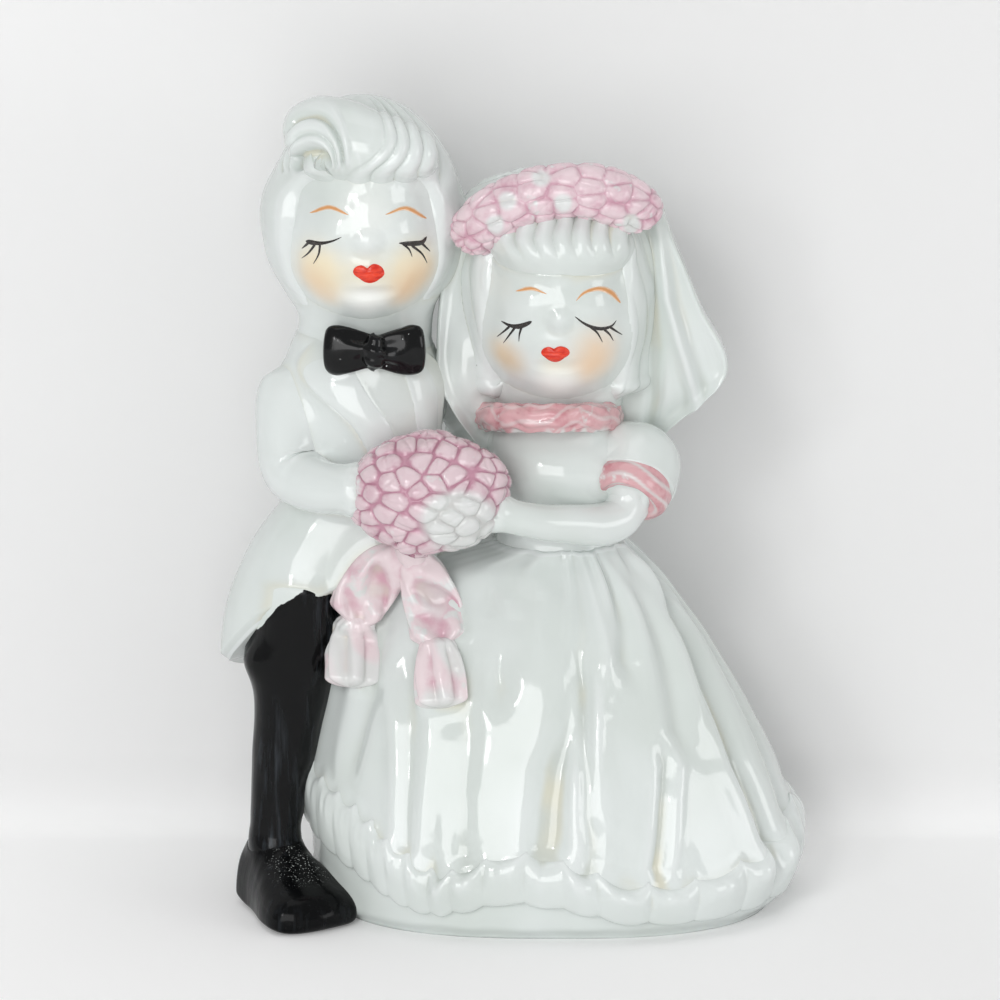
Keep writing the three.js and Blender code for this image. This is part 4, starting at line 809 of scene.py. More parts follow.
grid = limb([shoulder, upper, elbow, lower, wrist], radii, 180, 150, elbow_creases)
section("front_sleeve", ["groom_front_sleeve"], grid, white, "white_glaze", joint=2.2)
r = SLEEVE_WIDTH * 0.46
back = COAT_DEPTH / 2
shoulder = np.array([GROOM_X + COAT_WIDTH * 0.42, back * 0.25, shoulder_height])
elbow = np.array([GROOM_X + COAT_WIDTH * 0.72, back * 1.05, COAT_WAIST + COAT_HEIGHT * 0.14])
wrist = np.array([BRIDE_X - 1.84, back * 1.1, SKIRT_HEIGHT + 7.2])
route = [shoulder, (shoulder + elbow) / 2 + [r / 2, r / 2, 0], elbow, wrist]
grid = limb(route, [[0, r, r], [0.5, r, r], [1, r * 0.8, r * 0.8]], 110, 80, elbow_creases, (0, 1, 0))
section("back_sleeve", ["groom_back_sleeve"], grid, white, "white_glaze", joint=2.2)

# The bride's bodice and arm: a plain cast trunk, a puffed sleeve stuck on at the shoulder, and the
# forearm rolled by hand and luted between the sleeve and the bouquet.
BODICE_HEIGHT, BODICE_WIDTH, BODICE_DEPTH = 20, 18.4, 16.5
# share of the height, then the reach to the right, back, left and front
BODICE_SHAPE = [
    [0, 0.9, 0.9, 0.9, 0.88],
    [0.25, 0.94, 0.92, 0.94, 0.98],
    [0.55, 1, 1, 1, 1.28],
    [0.72, 1, 1, 1, 1.2],
    [0.86, 0.84, 0.86, 0.84, 0.9],
    [0.95, 0.6, 0.64, 0.6, 0.64],
    [1, 0.48, 0.5, 0.48, 0.5],
]
PUFF = np.array([12, 11, 12.4])
size = (BODICE_WIDTH, BODICE_DEPTH, BODICE_HEIGHT)
grid = capped(trunk(BRIDE_X, SKIRT_HEIGHT - 0.3, *size, BODICE_SHAPE, 2.2, trunk_turn, trunk_rise))
section("bodice_skin", ["bride_bodice"], grid, white, "white_glaze", joint=2.2, flat_ends=True)


def ball(middle, size, rows, around, relief=lambda turn, up: 0, shape=((0, 1, 1), (1, 1, 1))):
    """An ellipsoid from pole to pole, its width and depth shared out by a table over the height and
    its skin pushed out by a relief in shares of its radius."""
    angle = np.linspace(0, np.pi, rows)[:, None]
    turn = full_turn(around)
    wide, deep = read(shape, 0.5 - 0.5 * np.cos(angle))
    reach = np.sin(angle) * (1 + relief(turn, -np.cos(angle)))
    x = middle[0] + np.cos(turn * TURN) * reach * wide * size[0] / 2
    y = middle[1] + np.sin(turn * TURN) * reach * deep * size[1] / 2
    z = middle[2] - np.cos(angle) * (1 + relief(turn, -np.cos(angle))) * size[2] / 2
    return np.stack(np.broadcast_arrays(x, y, z), -1)


def puff_gathers(turn, up):
    """Gathers that run down into the cuff."""
    return 0.035 * np.cos(turn * TURN * 15 + 2 * np.sin(turn * TURN * 4)) * (1 - smooth(-0.75, -0.1, up))


puff_middle = np.array([BRIDE_X + 10.8, -BODICE_DEPTH / 4, SKIRT_HEIGHT + 11.4])
grid = ball(puff_middle, PUFF, 130, 170, puff_gathers)
section("puff_sleeve", ["bride_puff_sleeve"], grid, white, "white_glaze", joint=2.2)
cuff_middle = puff_middle + PUFF * [-0.08, -0.25, -0.2]
r = 2.55
elbow = cuff_middle + np.array([-0.6, -0.5, -1.5]) * r
grip = BOUQUET + BOUQUET_SIZE * [0.36, -0.12, -0.15]
route = [(puff_middle + cuff_middle) / 2, elbow, (elbow + grip) / 2 + [0, -r / 2, -r / 4], grip]
radii = [[0, r, r], [0.3, r * 1.12, r * 1.12], [0.65, r, r], [1, r * 0.86, r * 0.86]]
section("forearm", ["bride_forearm"], limb(route, radii, 130, 120), white, "white_glaze", joint=2)

# The pink cuff and the neck frill: strips of clay, pinched into small pleats with a tool, then
# painted with a dusky pink wash whose brush strokes run along the strip.
CUFF_RADIUS, CUFF_THICKNESS = 4.2, 2
COLLAR_WIDTH, COLLAR_DEPTH, COLLAR_THICKNESS, COLLAR_DROP = 16.8, 18, 2.2, 2.2


def washed(name, deep, pale, white_share, size, base=0.4, pooled=1.6):
    """A pink wash over the white glaze: deep where it has run into the grooves, pale on what stands
    up, and missing altogether in places."""
    finish = Finish(name, **GLAZE)
    hollow, joint = finish.mark("hollow"), finish.mark("joint")
    stroke = finish.cloud(size, 3.0)
    patch = finish.cloud(size * 2.6, 1.0)
    run = (hollow * pooled).top(-0.3) + finish.mark("line") * 0.6 + joint * 0.25
    depth = (run + (stroke - 0.5) * 1.1 + (patch - 0.5) * 1.3 + base).step(0.0, 1.0)
    pink = depth.mix(pale, deep)
    bare = finish.cloud(size * 3.2, 2.0) + (stroke - 0.5) * 0.8 - run.step(0.0, 1.0) * 0.6
    bare = bare.step(0.75 - white_share, 0.95 - white_share).top(finish.mark("bare"))
    finish.colour((bare * 0.85).mix(pink, white_glaze(finish)))
    finish.skin(stroke * 0.08 + 0.05, stroke * 0.2 + finish.cloud(4, 1.0) * 0.4, 0.3)
    return finish


rose = washed("rose_wash", ink(186, 104, 116), ink(218, 172, 176), 0.12, 1.2, 0.5, 2.5)
axis = (cuff_middle - puff_middle) / np.linalg.norm(cuff_middle - puff_middle)
flat = np.cross(axis, [0, 0, 1.0])
flat /= np.linalg.norm(flat)
cross = np.cross(axis, flat)
turn = full_turn(340)
angle = full_turn(48).T * TURN
brushed_in = np.cos(angle * 8 + 1.5 * np.sin(turn * TURN * 3))
brushed_in = brushed_in * (0.7 + 0.3 * np.sin(turn * TURN * 7 + angle))
reach = CUFF_RADIUS + np.cos(angle) * (CUFF_THICKNESS * 0.75 + 0.14 * brushed_in)
rise = np.sin(angle) * (CUFF_THICKNESS + 0.12 * brushed_in)
grid = cuff_middle + (np.cos(turn * TURN) * reach)[..., None] * flat
grid = grid + (np.sin(turn * TURN) * reach)[..., None] * cross + rise[..., None] * axis
missed = 0.75 * smooth(0.2, 0.9, np.cos(angle * 6 + 2 * np.sin(turn * TURN * 3) + 1))
missed = missed * smooth(0.1, -0.6, np.cos(turn * TURN - 0.6))
pleated_strip = {"finish": rose, "slot": "rose_glaze", "ring": True, "joint": 0.9}
section("pleated_cuff", ["bride_sleeve_cuff"], grid, bare=missed, **pleated_strip)
turn = full_turn(500)
angle = full_turn(60).T * TURN
along = np.cos(angle * 8 + 2.5 * np.sin(turn * TURN * 5) + 1.5 * np.sin(turn * TURN * 11))
frill = 1 + 0.05 * np.cos(turn * TURN * 14 + 2 * np.sin(turn * TURN * 3)) + 0.06 * along
reach = 1 + np.sin(angle) * COLLAR_THICKNESS * 0.8 * frill / (COLLAR_WIDTH / 2)
x = BRIDE_X - COLLAR_WIDTH * 0.08 + np.cos(turn * TURN) * COLLAR_WIDTH / 2 * reach
y = -BODICE_DEPTH * 0.08 + np.sin(turn * TURN) * COLLAR_DEPTH / 2 * reach
z = SKIRT_HEIGHT + BODICE_HEIGHT + np.cos(angle) * COLLAR_THICKNESS * 0.9 * frill
z = z - (1 + np.sin(turn * TURN)) * COLLAR_DROP
grid = np.stack(np.broadcast_arrays(x, y, z), -1)
hanging = smooth(-0.6, -1.1, np.cos(angle) + 0.25 * np.cos(turn * TURN * 24 + 3 * np.sin(turn * TURN * 5)))
drift = 3 * np.sin(turn * TURN * 4) + 1.5 * np.sin(turn * TURN * 9)
missed = 0.42 * smooth(0.55, 0.95, np.cos(angle * 5 + drift))
section("neck_ruffle", ["neck_frill"], grid, bare=np.maximum(hanging, missed), **pleated_strip)

# The heads: cast hollow with the neck, the face pressed in the mould as a low relief of closed lids,
# a button nose, full lips and cheeks, then tinted by brush before the last firing. Near white spots on
# the chins and the groom's forehead are painted highlights.
# share of the height, then how much wider and deeper than an ellipsoid
HEAD_SHAPE = [[0, 1.2, 1.1], [0.07, 1.2, 1.06], [0.2, 1.16, 1], [0.38, 1.09, 1], [0.6, 1, 1], [1, 1, 1]]
BRIDE_HEAD = np.array([BRIDE_X, -0.99, 86.5])
BRIDE_HEAD_SIZE = np.array([21.6, 22, 30])
GROOM_HEAD = np.array([-21.05, -1.11, 97.2])
GROOM_HEAD_SIZE = np.array([20.6, 22, 28.4])
# how far right of its head's middle each nose is
BRIDE_NOSE, GROOM_NOSE = 0.1, 0.55
# across, up, half width, half height and how far it stands out, in millimetres from the nose line
GROOM_FACE = [
    [0, -0.9, 1.8, 1.6, 0.8],
    [0, 2.4, 1.8, 3.6, 0.3],
    [5.5, 0.6, 3.6, 2.5, 0.75],
    [-5.5, 0.6, 3.6, 2.5, 0.75],
    [6.2, -6, 5.5, 5.2, 0.8],
    [-6.2, -6, 5.5, 5.2, 0.8],
    [0, -5.6, 3.2, 2.2, 0.6],
    [0, -10.6, 4.4, 3.4, 1.0],
    [0, -8.3, 2.8, 0.9, -0.3],
]
BRIDE_FACE = [
    [0, -1.2, 1.5, 1.45, 0.75],
    [0, 1.8, 1.6, 3.8, 0.35],
    [5.3, 0.9, 3.7, 2.5, 0.85],
    [-5.3, 0.9, 3.4, 2.2, 0.7],
    [6.1, -6.2, 5.2, 5, 0.8],
    [-6.1, -6.2, 5.2, 5, 0.8],
    [0, -5.4, 2.9, 2, 0.5],
    [0, -10.4, 4.6, 3.6, 1.0],
    [0, -7.9, 2.8, 0.9, -0.3],
]


def face_relief(features, x, z):
    """The features added up, each a hump (1 - d^2 / 2.56)^2 over its own oval."""
    total = 0
    for across, up, wide, high, out in features:
        d = np.hypot((x - across) / wide, (z - up) / high) / 1.6
        total = total + out * np.maximum(0, 1 - d**2) ** 2
    return total


def head(middle, size, nose, features):
    """An ellipsoid with full cheeks, more rings of points on the face, and the face's relief."""
    angle = np.linspace(0, np.pi, 210)[:, None]
    step = full_turn(230)
    turn = step - 0.11 * np.sin((step - 0.75) * TURN)
    wide, deep = read(HEAD_SHAPE, 0.5 - 0.5 * np.cos(angle))
    x = np.cos(turn * TURN) * np.sin(angle) * wide * size[0] / 2
    z = -np.cos(angle) * size[2] / 2
    y = np.sin(turn * TURN) * np.sin(angle) * deep * size[1] / 2
    front = smooth(0.5, -1.5, y)
    relief = face_relief(features, x - nose, z) * front
    return middle + np.stack(np.broadcast_arrays(x, y - relief, z), -1)


def face_front(middle, size, nose, features, x, z):
    """How far forward the face lies at a place across it and up it: the head's formula solved for y."""
    across, up = (x - middle[0]) * 2 / size[0], np.clip((z - middle[2]) * 2 / size[2], -1, 1)
    wide, deep = read(HEAD_SHAPE, (1 + up) / 2)
    level = np.maximum(1 - up**2, 1e-9)
    depth = np.sqrt(np.maximum(level - (across / wide) ** 2, 0.01)) * deep * size[1] / 2
    return middle[1] - depth - face_relief(features, x - middle[0] - nose, z - middle[2])


groom_front = lambda x, z: face_front(GROOM_HEAD, GROOM_HEAD_SIZE, GROOM_NOSE, GROOM_FACE, x, z)
bride_front = lambda x, z: face_front(BRIDE_HEAD, BRIDE_HEAD_SIZE, BRIDE_NOSE, BRIDE_FACE, x, z)


def on_face(front, px, py):
    """Where on the face a spot of the photograph falls: x from the picture, then height and depth in
    turn until they agree."""
    x = (np.asarray(px, float) - GROUND_PX) / PIXELS
    up = (GROUND_PY - np.asarray(py, float)) / PIXELS
    z = up / HEIGHT_SEEN
    for _ in range(25):
        z = 0.5 * z + 0.5 * (up - front(x, z) * DEPTH_SEEN) / HEIGHT_SEEN
    return x, z


def tinted(name, front, spots):
    """The face's glaze: the white glaze with soft brushed spots of colour, and near white painted
    highlights, each given by its middle on the photograph, its radius, its colour and its strength."""
    finish = Finish(name, **GLAZE)
    colour = white_glaze(finish)
    brush = finish.cloud(3.5, 3.0)
    for middle, radius, tint, strength in spots:
        x, z = (float(value) for value in on_face(front, *middle))
        spot = finish.near(x, float(front(x, z)), z, radius * 1.35) * (brush * 0.5 + 0.75) * strength
        colour = spot.step(0.0, 1.0).mix(colour, tint)
    finish.colour(colour)
    finish.skin(finish.cloud(3, 3.0) * 0.07 + 0.045, finish.cloud(7, 1.0) * 0.5, 0.25)
    return finish


# face tints: peach, cream and tan; the last, near white, is a painted highlight
PEACH, CREAM, TAN, PAINTED_HIGHLIGHT = ink(235, 200, 162), ink(240, 228, 198), ink(230, 200, 160), ink(246, 248, 244)
groom_skin = tinted(
    "groom_face_glaze",
    groom_front,
    [
        ((322, 276), 6, CREAM, 0.95),
        ((412, 276), 6, CREAM, 0.95),
        ((368, 284), 5, CREAM, 0.6),
        ((316, 284), 4.6, PEACH, 0.5),
        ((330, 296), 3.6, PEACH, 0.35),
        ((416, 284), 5.2, PEACH, 0.6),
        ((404, 297), 3.4, PEACH, 0.35),
        # painted highlights: near white on the chin and the forehead
        ((368, 303), 4.5, PAINTED_HIGHLIGHT, 0.8),
        ((368, 215), 6.5, PAINTED_HIGHLIGHT, 0.5),
    ],
)
bride_skin = tinted(
    "bride_face_glaze",
    bride_front,
    [
        ((505, 358), 4.2, TAN, 0.7),
        ((594, 352), 5, PEACH, 0.55),
        ((592, 368), 5, PEACH, 0.6),
        ((554, 369), 3.4, CREAM, 0.5),
        # painted highlight: near white on the chin
        ((556, 386), 4.2, PAINTED_HIGHLIGHT, 0.8),
    ],
)
for name, node, middle, size, nose, features, finish in (
    ("groom_face", "groom_head", GROOM_HEAD, GROOM_HEAD_SIZE, GROOM_NOSE, GROOM_FACE, groom_skin),
    ("bride_face", "bride_head", BRIDE_HEAD, BRIDE_HEAD_SIZE, BRIDE_NOSE, BRIDE_FACE, bride_skin),
):
    grid = head(middle, size, nose, features)
    section(name, [node], grid, finish, "face_glaze", uneven=0.02, joint=2)

# The painted faces: brows in thin orange brown, lash lines and lashes in black, and lips in bright
# red, all drawn with a fine brush in enamel that stands up a little from the glaze.
enamel_black = Finish("lash_enamel", **GLAZE)
thin = enamel_black.cloud(0.6, 3.0).step(0.35, 0.75)
enamel_black.colour(thin.mix(ink(30, 26, 24), ink(52, 44, 40)))
enamel_black.skin(enamel_black.cloud(1, 2.0) * 0.2 + 0.12, enamel_black.cloud(0.8, 2.0), 0.1)
brow_brown = Finish("brow_enamel", **GLAZE)
edge = brow_brown.mark("edge") + (brow_brown.cloud(0.7, 2.0) - 0.5) * 0.5
brow_brown.colour(edge.step(0.25, 1.0).mix(ink(218, 156, 102), ink(231, 212, 190)))
brow_brown.skin(brow_brown.cloud(1, 2.0) * 0.1 + 0.1, brow_brown.cloud(0.8, 2.0), 0.05)
lip_red = Finish("lip_enamel", **GLAZE)
streaks = lip_red.cloud(0.5, 3.0, (0.4, 1, 1))
lip_red.colour(streaks.step(0.3, 0.7).mix(ink(212, 40, 20), ink(238, 66, 34)))
lip_red.skin(streaks * 0.2 + 0.1, streaks, 0.25)


def enamel(name, grid, finish, edge=0):
    """A painted stroke: a thin closed skin that rides with the face it is painted on, and knows how
    near its edge each point is."""
    mesh = skin_mesh(name, grid, False, normals(grid, False)[1], False)
    mark(mesh, "edge", at_points(np.broadcast_to(edge, grid.shape[:2]), False))
    mesh.materials.append(finish.material)
    piece = placed(name, mesh)
    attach(piece, "root")


def stroke(name, front, spots, widths, finish, height=0.09):
    """A brush stroke through spots of the photograph: an oval section, as many pixels wide as its
    table says, carried over the face and half sunk into it."""
    share, turn = length_shares(48), full_turn(20)
    px, py = np.array(spots, float).T
    x, z = on_face(front, px, py)
    line, direction = spine(np.stack([x, 0 * x, z], -1), share[:, 0])
    width = read(widths, share)[0] / PIXELS / 2 * np.sqrt(np.clip(1 - (2 * share - 1) ** 12, 0, 1))
    c, s = np.cos(turn * TURN), np.sin(turn * TURN)
    across_x = line[:, None, 0] + c * width * direction[:, None, 2]
    across_z = line[:, None, 2] - c * width * direction[:, None, 0]
    y = front(across_x, across_z) - s * height * np.minimum(width / 0.12, 1)
    enamel(name, np.stack([across_x, y, across_z], -1), finish, np.abs(c) + 0 * share)


# share of the length, then the width in the photograph's pixels
BROW = [[0, 1], [0.2, 3], [0.55, 4.3], [0.85, 2.8], [1, 0.8]]
BRIDE_LEFT_BROW = [[0, 1], [0.4, 4], [1, 1]]
BRIDE_RIGHT_BROW = [[0, 1], [0.3, 4], [0.7, 5], [1, 1.6]]
LASH = [[0, 2.6], [0.4, 1.9], [1, 0.6]]
GROOM_LEFT_LINE = [[0, 0.8], [0.35, 2.4], [0.7, 4.4], [0.9, 5], [1, 3]]
GROOM_RIGHT_LINE = [[0, 1.2], [0.3, 4.6], [0.7, 5.2], [0.9, 3.6], [1, 1.4]]
BRIDE_LEFT_LINE = [[0, 1.6], [0.25, 3.4], [0.55, 5.2], [0.85, 4.2], [1, 2.6]]
BRIDE_RIGHT_LINE = [[0, 1], [0.4, 3.2], [0.7, 3.8], [1, 1]]
# each stroke's name and width, and the photograph's points down it
STROKES = [
    ["groom_left_brow", BROW, (312, 216.3), (332, 211.2), (351, 219)],
    ["groom_right_brow", BROW, (387, 218.6), (407, 212), (429, 222)],
    ["groom_left_lash_line", GROOM_LEFT_LINE,
     (344, 240.8), (333.4, 245), (322.5, 246.6), (313.9, 245.6), (308, 244.4)],
    ["groom_right_lash_line", GROOM_RIGHT_LINE,
     (400, 246.5), (406, 246.8), (414.7, 246.8), (423.4, 245.2), (427.7, 239.5)],
    ["groom_left_lash_1", LASH, (310.5, 246.2), (304, 251.4)],
    ["groom_left_lash_2", LASH, (317.5, 247.6), (310.6, 255.9), (303.4, 261)],
    ["groom_left_lash_3", LASH, (322.5, 247), (321, 257), (315.4, 267)],
    ["groom_right_lash_1", LASH, (404, 247), (410.3, 252.6), (413.4, 260)],
    ["groom_right_lash_2", LASH, (412.6, 248.5), (423.3, 257), (428.8, 267)],
    ["groom_right_lash_3", LASH, (422.3, 245.8), (431.6, 254.4)],
    ["bride_left_brow", BRIDE_LEFT_BROW, (515.5, 293.4), (530.9, 291), (546, 296.4)],
    ["bride_right_brow", BRIDE_RIGHT_BROW,
     (575, 303.4), (583, 295.3), (597.5, 291), (609.6, 294.6), (620.4, 305.6)],
    ["bride_left_lash_line", BRIDE_LEFT_LINE,
     (501, 322.6), (509, 327), (516.3, 328.4), (523.6, 327), (531.4, 323.4)],
    ["bride_right_lash_line", BRIDE_RIGHT_LINE,
     (573.8, 318.6), (583, 325.4), (593.9, 329.8), (602.4, 330.4), (610.9, 327.4), (615.4, 322)],
    ["bride_left_lash_1", LASH, (509.5, 328.2), (497, 338.1)],
    ["bride_left_lash_2", LASH, (515, 329), (509, 337), (503.2, 344.6)],
    ["bride_left_lash_3", LASH, (521.5, 328.4), (519.2, 336.3), (518.6, 343.6)],
    ["bride_right_lash_1", LASH, (589, 328.6), (596.3, 334.8), (601.6, 344)],
    ["bride_right_lash_2", LASH, (602.4, 330.8), (608.4, 336), (612.4, 342.4)],
    ["bride_right_lash_3", LASH, (608.5, 328.6), (621.4, 336.3)],
]
for name, widths, *spots in STROKES:
    front = groom_front if name.startswith("groom") else bride_front
    stroke(name, front, spots, widths, brow_brown if name.endswith("brow") else enamel_black)


def lips(name, front, outline, middle):
    """A cushion over a closed outline, whose reach from the middle is read by its bearing. It stands
    up as the cosine of the way out, with the line between the lips pressed in."""
    x, z = on_face(front, *np.array(outline, float).T)
    mx, mz = on_face(front, *middle)
    rows = sorted(zip(np.arctan2(z - mz, x - mx) / TURN, np.hypot(x - mx, z - mz)))
    rows = [[bearing + lap, reach] for lap in (-1, 0, 1) for bearing, reach in rows]
    turn = full_turn(160)
    reach = read(rows, (turn + 0.5) % 1 - 0.5)[0]
    angle = np.linspace(0, np.pi, 60)[:, None]
    out = np.sin(angle)
    across = mx + np.cos(turn * TURN) * reach * out
    up = mz + np.sin(turn * TURN) * reach * out
    over = np.maximum(-np.cos(angle), 0)
    parting = 0.16 * bell((up - mz) / 0.17) * np.minimum(over * 3, 1)
    y = front(across, up) - 0.42 * over**0.8 + parting + 0.4 * np.maximum(np.cos(angle), 0)
    enamel(name, np.stack(np.broadcast_arrays(across, y, up), -1), lip_red)


# the photograph's points round each pair of lips
GROOM_LIPS = [
    (355, 274.3), (362.6, 268.4), (369.1, 271.2), (376.2, 267),
    (386, 276), (381, 282), (372.4, 285.7), (361.6, 281.6),
]
BRIDE_LIPS = [
    (540.6, 353.9), (547.2, 348.6), (553.3, 350.3), (560.6, 348),
    (569, 353.9), (563.6, 359.5), (555.1, 363.4), (545.4, 359.5),
]
lips("groom_lips", groom_front, GROOM_LIPS, (370, 276.4))
lips("bride_lips", bride_front, BRIDE_LIPS, (554.8, 354.8))

# The necks: the lowest part of each head casting, set down into the collar and the neck frill.
GROOM_NECK = [[0, 9.1, 8], [0.45, 9.1, 8], [0.75, 10.1, 8.2], [1, 10.6, 8.2]]
BRIDE_NECK = [[0, 6.8, 6.8], [0.4, 8.4, 7.4], [0.7, 9.6, 8], [1, 10, 8]]
for name, node, middle, depth, radii in (
    ("groom_neck", "groom_head", GROOM_HEAD, 14.2, GROOM_NECK),
    ("bride_neck", "bride_head", BRIDE_HEAD, 15, BRIDE_NECK),
):
    route = [middle + [0, 2, -depth * 1.5], middle + [0, 2, -depth], middle + [0, 2, -depth * 0.5]]
    section(name, [node], limb(route, radii, 60, 100), white, "face_glaze", joint=2)

# The groom's hair: a cap cast with the head, open over the face, its strands cut in with a tool, and
# a quiff rolled forward that hooks over in a curl at the temple.
GROOM_HAIR = 3.4
# share of the height, then how much wider and deeper than an ellipsoid
GROOM_HAIR_SHAPE = [
    [0, 1.3, 1], [0.05, 1.4, 1], [0.12, 1.24, 0.96], [0.3, 1.09, 0.94],
    [0.55, 1.03, 1], [0.8, 0.96, 1], [1, 0.96, 0.96],
]
# height from the top of the hairline, then half the width of the face there
GROOM_LINE = [[-28, 0.6], [-21.5, 2.6], [-20, 5.6], [-18, 8], [-15, 9.5], [-12, 10.1], [-5, 10.4], [0, 10.4]]
# the photograph's height, then how far left and how far right the side-swept strands lie there
SWEPT = [
    [88, 352, 385], [105, 374, 412], [124, 384, 440], [147, 387, 454],
    [165, 374, 463], [182, 350, 470], [215, 345, 476],
]
# the photograph's point in the middle of the curl
CURL = (313, 169.5)


def strands(phase, sharp=0.7):
    """Rounded strands with narrow grooves between them: |sin| to a power, less its mean."""
    return np.abs(np.sin(np.pi * phase)) ** sharp - 0.68


def groom_strands(points, pulled=1):
    """The strands as the photograph shows them: five that sweep from the parting over to the right,
    and arches over the hollow of the curl on the left, each an oval whose height grows as its width
    squared. Under the curl the cap is drawn in. At the back they are combed down."""
    px, py = seen(points)
    left, right = read(SWEPT, py)
    share = (px - left) / (right - left)
    front = smooth(2.5, -2.5, points[..., 1])
    swept = front * smooth(-0.06, 0.06, share) * smooth(1.25, 0.95, share) * smooth(205, 178, py)
    relief = 0.62 * strands(share * 5.2) * swept
    wide, high = ((px - CURL[0]) / 32.7) ** 2, ((py - CURL[1]) / 48.6) ** 2
    arch = (wide + np.sqrt(wide**2 + 4 * high)) / 2
    curled = front * smooth(0.02, -0.1, share) * smooth(CURL[1] + 8, CURL[1] - 4, py)
    arcs = 0.35 * bell((arch - 0.5) / 0.08) - 0.3 * bell((arch - 0.63) / 0.05)
    arcs += 0.4 * bell((arch - 0.8) / 0.11)
    arcs += 0.4 * bell((arch - 1.32) / 0.2) - 0.7 * bell((arch - 1) / 0.07) - 2 * smooth(0.5, 0.12, arch)
    relief += curled * arcs
    x, y, z = np.moveaxis(points - GROOM_HEAD, -1, 0)
    relief -= 0.6 * smooth(-2.5, -8, x) * smooth(1, 8, z) * pulled
    bearing = np.arctan2(y, x) / TURN
    wave = 0.25 * np.sin(z / 3)
    back = smooth(-1, 3, points[..., 1]) * smooth(16.5, 11, z)
    return relief + back * 0.5 * strands(bearing * 26 + wave)


def hair_cap(middle, size, shape, line, dip, locks):
    """An ellipsoid over the head that dips under the face inside the hairline. The hairline is its
    middle, its top and a table of half widths by height; above the brow it closes as a fourth power."""
    grid = ball(middle, size, 200, 290, shape=shape)
    x, top, widths = line
    z = grid[..., 2]
    over = np.clip((z - top + 9) / 9, 0, 3)
    inside = ((np.abs(grid[..., 0] - x) / read(widths, z - top)[0]) ** 4 + over**4) ** 0.25
    opening = smooth(1.1, 0.86, inside) * (grid[..., 1] < middle[1] + 1)
    out = locks(grid) * smooth(0.98, 1.1, inside) * (1 - opening) - dip * opening
    return grid + normals(grid, False)[0] * out[..., None]


size = GROOM_HEAD_SIZE + GROOM_HAIR * np.array([1.8, 1, 0.7])
middle = GROOM_HEAD + GROOM_HAIR * np.array([-0.1, 0.55, 0.3])
line = (GROOM_HEAD[0] - 0.3, GROOM_HEAD[2] + 7.8, GROOM_LINE)
grid = hair_cap(middle, size, GROOM_HAIR_SHAPE, line, 5, groom_strands)
section("groom_hair_cap", ["groom_hair"], grid, white, "white_glaze", joint=2)


def at_head(middle, size, across, out, up):
    """A place by its shares of the head's half width, half depth and half height."""
    return middle + np.array([across * size[0], -out * size[1], up * size[2]]) / 2


QUIFF_RADIUS = 4.5
QUIFF = [(0.95, 0.36, 0.62), (0.52, 0.6, 0.76), (0, 0.66, 0.84), (-0.45, 0.54, 0.88), (-0.9, 0.42, 0.64)]
# share of the length, then the side and outward radii as shares of the quiff's radius
QUIFF_RADII = [[0, 0.5, 0.5], [0.3, 0.95, 1], [0.6, 1.2, 1.18], [0.85, 1.24, 1.22], [1, 1, 1]]
route = [at_head(GROOM_HEAD, GROOM_HEAD_SIZE, *share) for share in QUIFF]
radii = np.array(QUIFF_RADII) * [1, QUIFF_RADIUS, QUIFF_RADIUS]
grid = limb(route, radii, 240, 240, ends=0.16)
px, _ = seen(grid)
grid += normals(grid, False)[0] * (groom_strands(grid, 0) * smooth(284, 298, px))[..., None]
section("quiff_roll", ["groom_quiff"], grid, white, "white_glaze", joint=1.8)

# The bride's hair: a cap with smooth sides, and a fringe of soft locks that roll under over the brow.
BRIDE_HAIR = 2.2
BRIDE_HAIR_SHAPE = [
    [0, 2.4, 1.5], [0.04, 2.1, 1.4], [0.12, 1.42, 1.1], [0.25, 1.08, 0.98], [0.6, 1, 1], [1, 1, 1],
]
BRIDE_LINE = [[-27, 6.4], [-24, 8.4], [-21, 9.2], [-10, 9.5], [0, 9.5]]
# the photograph's height, then the left and the right edge of the fringe there
FRINGE = [[205, 515, 616], [222, 506, 628], [242, 498, 634], [262, 503, 630], [280, 510, 622]]


def bride_strands(points):
    """Strands combed down from the crown, slanting a little over the sides."""
    x, z = points[..., 0] - BRIDE_HEAD[0], points[..., 2] - BRIDE_HEAD[2]
    bearing = np.arctan2(points[..., 1] - BRIDE_HEAD[1], x) / TURN
    side = smooth(6, 9.5, np.abs(x))
    return 0.3 * strands(bearing * 24 + z * 0.05 + 0.2 * np.sin(z / 3)) * side * smooth(15.5, 11, z)


size = BRIDE_HEAD_SIZE + [2 * BRIDE_HAIR, BRIDE_HAIR, BRIDE_HAIR]
middle = BRIDE_HEAD + [0, BRIDE_HAIR * 0.6, BRIDE_HAIR * 0.3]
line = (BRIDE_HEAD[0] - 0.4, BRIDE_HEAD[2] + 11, BRIDE_LINE)
grid = hair_cap(middle, size, BRIDE_HAIR_SHAPE, line, 4, bride_strands)
section("bride_hair_cap", ["bride_hair"], grid, white, "white_glaze", joint=2)


def fringe_locks(points):
    """Seven locks side by side between the fringe's left and right edges on the photograph."""
    px, py = seen(points)
    left, right = read(FRINGE, py)
    share = (px - left) / (right - left)
    bend = 0.035 * np.sin((py - 215) / 14)
    locks = 0.75 * strands((share + bend) * 7, 0.8) * smooth(0, 0.06, share) * smooth(1, 0.94, share)
    return locks * smooth(268, 238, py)


middle = BRIDE_HEAD + BRIDE_HEAD_SIZE * [0.02, -0.2, 0.26]
grid = ball(middle, BRIDE_HEAD_SIZE * [0.9, 0.55, 0.36] + [0, 2.2, 0], 160, 310)
grid += normals(grid, False)[0] * fringe_locks(grid)[..., None]
section("fringe_roll", ["bride_fringe"], grid, white, "white_glaze", joint=1.4)

